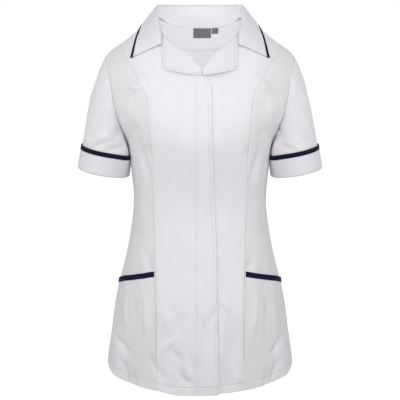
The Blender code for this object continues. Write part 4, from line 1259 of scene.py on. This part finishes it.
# Centre fronts: the right one laps over the left and hides the fastening under its placket,
# which is stitched along its edge and again further in. Both end at the neck in the V that
# the reveres are turned back from.
PLACKET_EDGE = (
    Seam(-745, 38), Seam(-548, 34), Seam(-400, 30.5), Seam(-250, 24), Seam(-112, 21.5),
)
UNDERLAP_EDGE = -10.0
UNDERLAP_SHORT = 5.0
OVERLAP_RISE = 2.3
RISE_START = -60.0
RISE_END = -16.0
TURN_IN_FROM = 0.8
PLACKET_STITCH = 6.0
INNER_STITCH_X = -7.0
FASTENING_END = -100.0
TACK_HEIGHT = -716.0
TACK_LONG = 9.0
TACK_STITCH = {"pitch": 0.5, "long": 3.6, "slant": math.pi / 2}
CHEST_SHARES = np.linspace(0, 1, 33)
NECK_SHARES = shares(32, 120.0, low=False)
FrontPanel = namedtuple("FrontPanel", "mirror columns width rises free_edge hem_rise")


def fastening_rise(x):
    """Rise of the upper front over the underlap."""
    return OVERLAP_RISE * smooth_step(x, RISE_START, RISE_END)


def raised_lift(place):
    """Puts the upper front on the body, raised where it laps over the other front."""
    x = body_point(place[..., 0], place[..., 1])[..., 0]
    lifted = body_lifted(place[..., 0], place[..., 1], fastening_rise(x))
    lifted[..., 1] -= SEAM_GAP
    return lifted


def half_way_up(angle_at, low, high):
    """Height at which a seam has run half its length between two heights."""
    z = np.linspace(low, high, PATH_POINTS)
    length = distance_along(body_point(angle_at(z), z))
    return float(np.interp(length[-1] / 2, length, z))


def straight_edge(start, end):
    """Straight edge between two places."""
    def edge(u):
        return np.asarray(start) + u[..., None] * (np.asarray(end) - np.asarray(start))
    return edge


def front_zones(mirror, free_angle, hem_rise):
    """Zones of a centre front from its free edge to the princess seam: below the armpit,
    up to the end of the fastening, and beside the turned-back V and the neck."""
    princess = princess_angle(mirror)
    neck = front_edge(mirror, last=NECK_POINT)
    shoulder = front_edge(mirror, first=NECK_POINT)
    apex = neck(np.zeros(1))[0]
    seam_top = shoulder(np.ones(1))[0, 1]
    seam_middle = half_way_up(princess, ARMPIT_HEIGHT, seam_top)
    across = straight_edge(apex, (princess(seam_middle), seam_middle))
    waist_edge = level_edge(ARMPIT_HEIGHT, free_angle(ARMPIT_HEIGHT), princess(ARMPIT_HEIGHT))

    def free_edge(v):
        z = ARMPIT_HEIGHT + (apex[1] - ARMPIT_HEIGHT) * v
        turn_in = smooth_step(v, TURN_IN_FROM, 1.0)
        return np.stack([free_angle(z) * (1 - turn_in) + apex[0] * turn_in, z], axis=-1)

    def below(u, v):
        return four_sided(
            hem_edge(free_angle(HEM_HEIGHT), princess(HEM_HEIGHT), hem_rise), waist_edge,
            edge_between(hem_height(free_angle(HEM_HEIGHT)) + hem_rise, ARMPIT_HEIGHT, free_angle),
            edge_between(hem_height(princess(HEM_HEIGHT)), ARMPIT_HEIGHT, princess), u, v)

    def chest(u, v):
        return four_sided(
            waist_edge, across, free_edge,
            edge_between(ARMPIT_HEIGHT, seam_middle, princess), u, v)

    def beside_neck(u, v):
        return four_sided(
            across, shoulder, neck, edge_between(seam_middle, seam_top, princess), u, v)

    return ((below, LOWER_SHARES), (chest, CHEST_SHARES), (beside_neck, NECK_SHARES))


def placket_angle(z):
    return seam_angle(PLACKET_EDGE, z)


def underlap_angle(z):
    return angle_of(UNDERLAP_EDGE, z)


FRONTS = {
    "right": FrontPanel(-1.0, 44, 130.0, raised_lift, placket_angle, 0.0),
    "left": FrontPanel(1.0, 34, 100.0, front_lift, underlap_angle, UNDERLAP_SHORT),
}


def below_the_v(points):
    return points[:, 2] < FASTENING_END


def at_the_tack(points):
    return np.abs(points[:, 2] - TACK_HEIGHT) < TACK_LONG / 2


for side_name, front in FRONTS.items():
    zones = front_zones(front.mirror, front.free_edge, front.hem_rise)
    grid = panel_grid(zones, front.rises, shares(front.columns, front.width))
    grid = rolled(grid, TORSO_MIDDLE, left=HEM_ROLL, right=SEAM_ROLL, top=SEAM_ROLL,
                  bottom=HEM_ROLL)
    rows = [(sewn_path(grid, TORSO_MIDDLE, "bottom", HEM_STITCH), {})]
    lines = [("bottom", HEM_STITCH)]
    from_centre = -grid[..., 0]
    if side_name == "right":
        edge_row = sewn_path(grid, TORSO_MIDDLE, "left", PLACKET_STITCH)
        inner_row = sewn_path(grid, TORSO_MIDDLE, "left", -INNER_STITCH_X, reach=from_centre)
        tack_row = part_of(edge_row, at_the_tack)
        rows += [(part_of(edge_row, below_the_v), {}), (part_of(inner_row, below_the_v), {}),
                 (tack_row, TACK_STITCH)]
        lines += [("left", PLACKET_STITCH), ("centre", -INNER_STITCH_X)]
    front_cloth = cloth_finish("front_cloth_" + side_name, WHITE, WHITE_SHADED, lines,
                               doubled=(("bottom", HEM_STITCH),))
    piece = cloth_piece("centre_panel_" + side_name, grid, TORSO_MIDDLE, front_cloth, CLOTH_THICK,
                        extra={"centre": from_centre})
    front_sewing = sew("centre_stitches_" + side_name, rows)
    wear(piece, "front_" + side_name)


# Reveres: the tops of the fronts with their facings, turned back from the V to square outer
# corners. They are edge stitched and lie softly over the fronts.
Corner = namedtuple("Corner", "share x z")
REVERE_OUTER = (Corner(0.0, 73.6, -29.5), Corner(0.32, 73.2, -51), Corner(1.0, 69.6, -96.5))
REVERE_LOWER = (Corner(0.0, 0.4, -108.6), Corner(0.5, 35, -105.0), Corner(1.0, 69.6, -96.5))
REVERE_THICK = 1.1
REVERE_OUT = 2.2
REVERE_ROLL = 2.6
REVERE_COLUMNS = 26
REVERE_WIDE = 72.0
REVERE_ROWS = 30
REVERE_TALL = 75.0
V_END = 0.9
CORNER_FROM = 0.88
REVERE_FLAT_FROM = 27.0
REVERE_FLAT_TO = 68.0
REVERE_STITCH = 5.0
REVERE_TURNS = {"left": 1.1, "right": 0.5, "bottom": 0.4, "top": 0.5}
COLLAR_WHITE = (0.775, 0.765, 0.80)
COLLAR_SHADED = (0.69, 0.675, 0.73)


def corner_edge(table, mirror, centre=0.0):
    """Edge of a revere through the points of a table, seen from the front."""
    def edge(u):
        x = smooth_read(u, column(table, "share"), column(table, "x"))
        z = smooth_read(u, column(table, "share"), column(table, "z"))
        return np.stack([mirror * x + centre * (1 - u), z], axis=-1)
    return edge


def revere_patch(mirror):
    """Revere seen from the front: u runs from the V to the outer edge, v downward."""
    outer = corner_edge(REVERE_OUTER, mirror)
    lower = corner_edge(REVERE_LOWER, mirror, V_CENTRE)

    def inner(v):
        share = V_TOP * (1 - np.clip(v / V_END, 0, 1))
        place = front_edge(mirror)(share)
        x = body_point(place[..., 0], place[..., 1])[..., 0]
        seen = np.stack([x, place[..., 1]], axis=-1)
        drop = smooth_step(v, CORNER_FROM, 1.0)[..., None]
        return seen * (1 - drop) + lower(np.zeros(1))[0] * drop

    upper = straight_edge(inner(np.zeros(1))[0], outer(np.zeros(1))[0])

    def patch(u, v):
        return four_sided(upper, lower, inner, outer, u, v)
    return patch


def revere_grid(mirror):
    """Points of a revere, lifted over the front that it is turned back on."""
    u, v = np.meshgrid(shares(REVERE_COLUMNS, REVERE_WIDE), shares(REVERE_ROWS, REVERE_TALL),
                       indexing="ij")
    seen = revere_patch(mirror)(u, v)
    x, z = seen[..., 0], seen[..., 1]
    under = fastening_rise(x) * (1 - smooth_step(x, REVERE_FLAT_FROM, REVERE_FLAT_TO))
    out = under + REVERE_OUT + REVERE_ROLL * np.sin(math.pi * u) ** 2
    points = body_lifted(angle_of(x, z), z, out)
    points[..., 1] -= SEAM_GAP
    return points


for side_name, mirror in SIDES.items():
    grid = revere_grid(mirror)
    grid = rolled(grid, TORSO_MIDDLE, **REVERE_TURNS)
    revere_cloth = cloth_finish("revere_cloth_" + side_name, COLLAR_WHITE, COLLAR_SHADED,
                                (("right", REVERE_STITCH), ("top", REVERE_STITCH)))
    piece = cloth_piece("revere_cloth_" + side_name, grid, TORSO_MIDDLE, revere_cloth, REVERE_THICK)
    revere_sewing = sew("revere_stitches_" + side_name, (
        (sewn_path(grid, TORSO_MIDDLE, "right", REVERE_STITCH), {}),
        (sewn_path(grid, TORSO_MIDDLE, "top", REVERE_STITCH), {})))
    wear(piece, "revere_" + side_name)


# Collar: a stand and fall in one, sewn round the neck from notch to notch and turned down.
# Its outer edge is bound in navy, up to the two front points.
Station = namedtuple("Station", "share fold_x fold_y fold_z edge_x edge_y edge_z")
COLLAR = (
    Station(0.00, 0, 73, 30.5, 0, 104, -30),
    Station(0.15, 27, 69, 30.5, 36, 99, -30),
    Station(0.30, 54, 55, 30.5, 72, 83, -30),
    Station(0.45, 75, 32, 30.5, 102, 50, -26),
    Station(0.56, 84.5, 4, 28.5, 119, 8, -16),
    Station(0.66, 84, -24, 15, 123.5, -24, -27),
    Station(0.76, 82, -46, -2, 129, -44, -45),
    Station(0.87, 79, -64, -21, 133.5, -58, -63),
    Station(1.00, 76.5, -79, -49, 137, -67, -76),
)
GORGE = 0.87
SIDE_OF_NECK = 0.56
FOLD_ROUND = 8.0
FOLD_SHARE = 0.45
FOLD_POINTS = 17
FALL_STEPS = 40
COLLAR_COLUMNS = 150
COLLAR_AROUND = 520.0
COLLAR_ROWS = 34
COLLAR_DEEP = 90.0
NECK_LIFT = 0.9
NECK_TUCK = 2.5
TUCK_LIFT = 0.2
TUCK_FADE = 0.4
COLLAR_CLEARANCE = 3.0
BELOW_RIDGE = 0.5
GORGE_LIFT = 3.6
GORGE_X = 73.2
GORGE_SPREAD = 0.4
GORGE_TOP = -29.0
NOTCH_HEIGHT = -51.0
PIPING_WIDTH = 7.2
PIPING_THICK = 1.5
PIPING_ROLL = 0.7
PIPING_SEAM_ROLL = 0.35
COLLAR_END_ROLL = 0.4
COLLAR_STITCH = 1.2
PIPING_ROWS = 4
COLLAR_THICK = 1.1


def collar_point(share, name):
    return np.stack(
        [smooth_read(share, column(COLLAR, "share"), column(COLLAR, name + axis))
         for axis in ("_x", "_y", "_z")], axis=-1)


def neck_seam_point(share):
    """Where the left half of the collar is sewn on, from the back to the notch."""
    if share <= SIDE_OF_NECK:
        place = neck_edge(BACK_NECK, behind=True)(np.array(share / SIDE_OF_NECK * NECK_POINT))
        ahead = smooth_step(share, TUCK_FADE, SIDE_OF_NECK)
        point = body_lifted(place[0], place[1], NECK_LIFT * ahead - NECK_TUCK * (1 - ahead))
        return point + (0, 0, NECK_LIFT * ahead + TUCK_LIFT * (1 - ahead))
    if share <= GORGE:
        run = (share - SIDE_OF_NECK) / (GORGE - SIDE_OF_NECK)
        place = front_edge(1.0)(np.array(NECK_POINT + (V_TOP - NECK_POINT) * run))
        near = run ** 3
        point = body_lifted(place[0], place[1], NECK_LIFT * (1 - near) + GORGE_LIFT * near)
        return point + (GORGE_SPREAD * near, 0, NECK_LIFT * (1 - run))
    run = (share - GORGE) / (1 - GORGE)
    z = GORGE_TOP + (NOTCH_HEIGHT - GORGE_TOP) * run
    return body_lifted(angle_of(GORGE_X, z), z, GORGE_LIFT)


def keep_clear(points, clearance):
    """Moves points of the left half out until they clear the body cloth."""
    x = points[..., 0]
    z = np.minimum(points[..., 2], shoulder_height(x) - BELOW_RIDGE)
    angle = angle_of(x, z)
    angle = np.where(points[..., 1] > 0, 180.0 - angle, angle)
    normal = body_normal(angle, z)
    above = np.sum((points - body_point(angle, z)) * normal, axis=-1)
    return points + normal * np.maximum(clearance - above, 0)[..., None]


def collar_section(share):
    """Stand and fall of the left half of the collar at one place round the neck."""
    seam = neck_seam_point(share)
    fold = collar_point(share, "fold")
    edge = collar_point(share, "edge")
    stand = np.linalg.norm(fold - seam)
    cut = min(FOLD_ROUND, FOLD_SHARE * stand)
    before = fold + (seam - fold) / stand * cut
    after = fold + (edge - fold) / np.linalg.norm(edge - fold) * cut
    t = np.linspace(0, 1, FOLD_POINTS)[:, None]
    rounded = before * (1 - t) ** 2 + 2 * fold * t * (1 - t) + after * t * t
    fall = after + (edge - after) * np.linspace(1 / FALL_STEPS, 1, FALL_STEPS)[:, None]
    return np.concatenate([[seam], rounded]), fall


def collar_grids():
    """Grids of the collar's cloth and of its piping, right notch to left notch."""
    places = shares(COLLAR_COLUMNS, COLLAR_AROUND) * 2 - 1
    stands, falls = zip(*(collar_section(abs(place)) for place in places))
    falls = keep_clear(np.array(falls), COLLAR_CLEARANCE)
    paths = np.concatenate([np.array(stands), falls], axis=1)
    cloth, piping = [], []
    for place, path in zip(places, paths):
        length = distance_along(path)
        side = np.array([math.copysign(1.0, place), 1.0, 1.0])
        inner = length[-1] - PIPING_WIDTH
        up_to_piping = shares(COLLAR_ROWS, COLLAR_DEEP) * (inner - SEAM_GAP)
        over_edge = inner + PIPING_WIDTH * shares(PIPING_ROWS, PIPING_WIDTH * 2)
        cloth.append(point_along(path, length, up_to_piping) * side)
        piping.append(point_along(path, length, over_edge) * side)
    return np.array(cloth), np.array(piping)


collar_grid, piping_grid = collar_grids()
collar_grid = rolled(collar_grid, TORSO_MIDDLE, left=COLLAR_END_ROLL, right=COLLAR_END_ROLL)
piping_grid = rolled(piping_grid, TORSO_MIDDLE, top=PIPING_ROLL, bottom=PIPING_SEAM_ROLL)
collar_cloth = cloth_finish(
    "collar_cloth", COLLAR_WHITE, COLLAR_SHADED, (("top", COLLAR_STITCH),))
collar = cloth_piece("turned_collar", collar_grid, TORSO_MIDDLE, collar_cloth, COLLAR_THICK)
wear(collar, "collar")
piping_cloth = cloth_finish("collar_piping_cloth", NAVY, NAVY_SHADED,
                            (("bottom", TRIM_STITCH),), **NAVY_SURFACE)
piping = cloth_piece("collar_edge_piping", piping_grid, TORSO_MIDDLE, piping_cloth, PIPING_THICK)
piping_sewing = sew("collar_piping_stitches", (
    (sewn_path(piping_grid, TORSO_MIDDLE, "bottom", TRIM_STITCH), {}),), NAVY_THREAD)
wear(piping, "collar_piping")


# Sleeves: short set-in sleeves of white cloth, eased into the armhole with a rounded cap and
# seamed under the arm. They hang beside the body and crease above the cuff.
CUFF_CENTRE = (198.0, -2.0, -310.0)
CUFF_LEAN = 10.5
CUFF_HALF_WIDTH = 51.5
CUFF_HALF_DEPTH = 60.0
CAP_REACH = 50.0
FRONT_REACH = 16.0
LEAVE_SHARE = 0.6
ARRIVE_SHARE = 0.9
SLEEVE_GAP = 0.3
BODY_GAP_AT_SEAM = 0.8
BODY_CLEARANCE = 2.8
CLEAR_FROM = 0.5
CLEAR_TO = 0.9
PRESS_ROUND = 1.0
SLEEVE_END = 2.0
SLEEVE_HALF_COLUMNS = 62
SLEEVE_ROWS = 56
SLEEVE_LONG = 200.0
ARM_MIDDLE = (190.0, -2.0, -250.0)
SLEEVE_ROUND = 360.0

# Tucks down the inner side of a sleeve: place round it, from the armpit, and depth
Tuck = namedtuple("Tuck", "place depth")
TUCKS = (Tuck(0.13, 12.0), Tuck(0.87, 8.4))
TUCK_WIDTH = 0.08

# Creases of a sleeve: place round it, height over the cuff's edge, then as on the body
ArmCrease = namedtuple("ArmCrease", "place up lean length wide out")
ARM_CREASES = {
    "right": (
        ArmCrease(0.20, 62, 58, 46, 6, -1.9), ArmCrease(0.26, 78, 64, 54, 6, 1.5),
        ArmCrease(0.31, 58, 72, 38, 5, -1.5), ArmCrease(0.17, 96, 40, 60, 7, -1.7),
        ArmCrease(0.36, 104, 30, 70, 9, -1.2), ArmCrease(0.43, 60, 78, 34, 5, 1.2),
        ArmCrease(0.55, 72, -64, 50, 6, -1.5), ArmCrease(0.66, 64, -58, 44, 6, 1.5),
        ArmCrease(0.74, 84, -46, 60, 7, -1.8), ArmCrease(0.82, 66, -60, 40, 6, 1.3),
        ArmCrease(0.48, 136, 8, 62, 10, 1.1), ArmCrease(0.62, 128, -20, 56, 9, -1.0),
    ),
    "left": (
        ArmCrease(0.19, 70, 52, 52, 6, -1.8), ArmCrease(0.25, 60, 66, 44, 5, 1.5),
        ArmCrease(0.33, 74, 60, 46, 6, -1.6), ArmCrease(0.15, 102, 34, 64, 7, -1.6),
        ArmCrease(0.38, 96, 38, 62, 9, 1.2), ArmCrease(0.45, 58, 80, 36, 5, -1.1),
        ArmCrease(0.57, 66, -68, 46, 6, 1.4), ArmCrease(0.68, 76, -54, 50, 6, -1.6),
        ArmCrease(0.77, 62, -62, 40, 6, 1.4), ArmCrease(0.84, 90, -40, 58, 7, -1.6),
        ArmCrease(0.51, 130, -6, 66, 10, -1.0), ArmCrease(0.42, 142, 14, 54, 9, 1.0),
    ),
}


def body_half_width(y, z):
    """Half width of the body cloth under the arm at a depth and height."""
    z = np.minimum(z, ARMPIT_HEIGHT)
    depth = np.where(y < 0, level_size(z, "front"), level_size(z, "back"))
    share = np.clip(np.abs(y) / depth, 0, 1)
    turn = np.arccos(share)
    for _ in range(ANGLE_STEPS):
        turn = np.arccos(np.clip(share / (1 + SQUARENESS * np.sin(2 * turn) ** 2), 0, 1))
    return level_size(z, "side") * np.sin(turn) * (1 + SQUARENESS * np.sin(2 * turn) ** 2)


def armhole_ring(half_count):
    """Left armhole from the armpit over the front to the shoulder and down the back."""
    def path(behind):
        z = np.linspace(ARMPIT_HEIGHT, SHOULDER_TOP, PATH_POINTS)
        angle = armhole_angle(z)
        points = body_lifted(180.0 - angle if behind else angle, z, 0.0)
        points[:, 1] += SEAM_GAP if behind else -SEAM_GAP
        length = distance_along(points)
        return point_along(points, length, np.linspace(0, length[-1], half_count + 1))

    front = path(False)
    behind = path(True)[::-1]
    shoulder = (front[-1] + behind[0]) / 2
    armpit = (front[0] + behind[-1]) / 2
    return np.concatenate([[armpit], front[1:-1], [shoulder], behind[1:-1], [armpit]])


def sleeve_paths(half_count):
    """Dense paths down the left sleeve, one for each column round it."""
    start = armhole_ring(half_count)
    round_it = np.linspace(0, 1, 2 * half_count + 1)
    turn = 2 * math.pi * round_it
    lean = math.radians(CUFF_LEAN)
    axis = np.array([math.sin(lean), 0, -math.cos(lean)])
    outer = np.array([math.cos(lean), 0, math.sin(lean)])
    end = (np.array(CUFF_CENTRE)
           - np.cos(turn)[:, None] * CUFF_HALF_WIDTH * outer
           + np.sin(turn)[:, None] * CUFF_HALF_DEPTH * np.array([0, -1.0, 0]))
    chord = end - start
    length = np.linalg.norm(chord, axis=1, keepdims=True)
    cap = ((1 - np.cos(turn)) / 2) ** 2
    leave = LEAVE_SHARE * chord
    leave[:, 0] += CAP_REACH * cap
    leave[:, 1] -= FRONT_REACH * np.sin(turn)
    arrive = axis * length * ARRIVE_SHARE
    s = np.linspace(0, 1, PATH_POINTS)[None, :, None]
    path = (
        start[:, None] * (1 + 2 * s) * (1 - s) ** 2 + leave[:, None] * s * (1 - s) ** 2
        + end[:, None] * s * s * (3 - 2 * s) + arrive[:, None] * s * s * (s - 1))
    along = s[..., 0]
    for tuck in TUCKS:
        away = (round_it - tuck.place + 0.5) % 1.0 - 0.5
        depth = tuck.depth * np.exp(-((away / TUCK_WIDTH) ** 2))
        path[..., 0] -= depth[:, None] * np.sin(math.pi * along) ** 2
    apart = smooth_step(along, CLEAR_FROM, CLEAR_TO)
    clear = BODY_GAP_AT_SEAM + (BODY_CLEARANCE - BODY_GAP_AT_SEAM) * apart
    wanted = body_half_width(path[..., 1], path[..., 2]) + clear
    half = (path[..., 0] - wanted) / 2
    path[..., 0] = (path[..., 0] + wanted) / 2 + np.sqrt(half * half + PRESS_ROUND ** 2)
    return path


def arm_grid(paths, bottom, top, upward, out, creases=()):
    """Layer of a sleeve between two distances from the cuff's edge, lower one first."""
    grid = []
    for path in paths:
        length = distance_along(path)
        high = length[-1] - SLEEVE_GAP if top is None else top
        up = bottom + (high - bottom) * upward
        grid.append(point_along(path, length, length[-1] - up))
    grid = np.array(grid)
    height = bottom + edge_distances(grid)["bottom"]
    round_it = np.linspace(0, 1, len(grid))[:, None]
    lifted = np.full(height.shape, float(out))
    for crease in creases:
        away = ((round_it - crease.place + 0.5) % 1.0 - 0.5) * SLEEVE_ROUND
        lifted += crease_height(away, crease.up - height, crease)
    return grid + grid_normals(grid, ARM_MIDDLE, True) * lifted[..., None]


def mirrored(points, mirror):
    return points * np.array([mirror, 1.0, 1.0])


arm_paths = sleeve_paths(SLEEVE_HALF_COLUMNS)
sleeve_cloth = cloth_finish("sleeve_cloth", WHITE, WHITE_SHADED)
for side_name, mirror in SIDES.items():
    grid = arm_grid(arm_paths, SLEEVE_END, None, shares(SLEEVE_ROWS, SLEEVE_LONG), 0.0,
                    ARM_CREASES[side_name])
    grid = rolled(grid, ARM_MIDDLE, True, top=SEAM_ROLL)
    grid = mirrored(grid, mirror)
    arm_middle = mirrored(ARM_MIDDLE, mirror)
    piece = cloth_piece("set_in_sleeve_" + side_name, grid, arm_middle, sleeve_cloth,
                        CLOTH_THICK, ring=True)
    wear(piece, "sleeve_" + side_name)


# Cuffs: the sleeve ends turned up over themselves, each with a navy band sewn along its
# upper edge by two rows of stitches.
CUFF_HEIGHT = 39.3
CUFF_OUT = 2.4
CUFF_ROWS = 14
CUFF_TURN = 1.5
CUFF_SEAM_ROLL = 0.4
CUFF_WHITE = (0.785, 0.775, 0.805)
CUFF_LINES = (("bottom", 1.2), ("top", 1.5))
BAND_HEIGHT = 9.5
BAND_OUT = 2.7
BAND_ROWS = 4
BAND_ROLL = 0.5

cuff_cloth = cloth_finish("cuff_cloth", CUFF_WHITE, COLLAR_SHADED, CUFF_LINES)
band_cloth = cloth_finish("cuff_band_cloth", NAVY, NAVY_SHADED,
                          (("bottom", TRIM_STITCH), ("top", TRIM_STITCH)), **NAVY_SURFACE)
for side_name, mirror in SIDES.items():
    arm_middle = mirrored(ARM_MIDDLE, mirror)
    grid = arm_grid(arm_paths, 0.0, CUFF_HEIGHT, shares(CUFF_ROWS, CUFF_HEIGHT), CUFF_OUT)
    grid = rolled(grid, ARM_MIDDLE, True, bottom=CUFF_TURN, top=CUFF_SEAM_ROLL)
    grid = mirrored(grid, mirror)
    cuff = cloth_piece("turned_cuff_" + side_name, grid, arm_middle, cuff_cloth, CLOTH_THICK,
                       ring=True)
    wear(cuff, "cuff_" + side_name)
    grid = arm_grid(arm_paths, CUFF_HEIGHT + SEAM_GAP, CUFF_HEIGHT + SEAM_GAP + BAND_HEIGHT,
                    shares(BAND_ROWS, BAND_HEIGHT), BAND_OUT)
    grid = rolled(grid, ARM_MIDDLE, True, bottom=BAND_ROLL, top=BAND_ROLL)
    grid = mirrored(grid, mirror)
    band = cloth_piece("navy_band_" + side_name, grid, arm_middle, band_cloth, TRIM_THICK,
                       ring=True)
    band_sewing = sew("navy_band_stitches_" + side_name, (
        (sewn_path(grid, arm_middle, "bottom", TRIM_STITCH, True), {}),
        (sewn_path(grid, arm_middle, "top", TRIM_STITCH, True), {})), NAVY_THREAD)
    wear(band, "cuff_band_" + side_name)
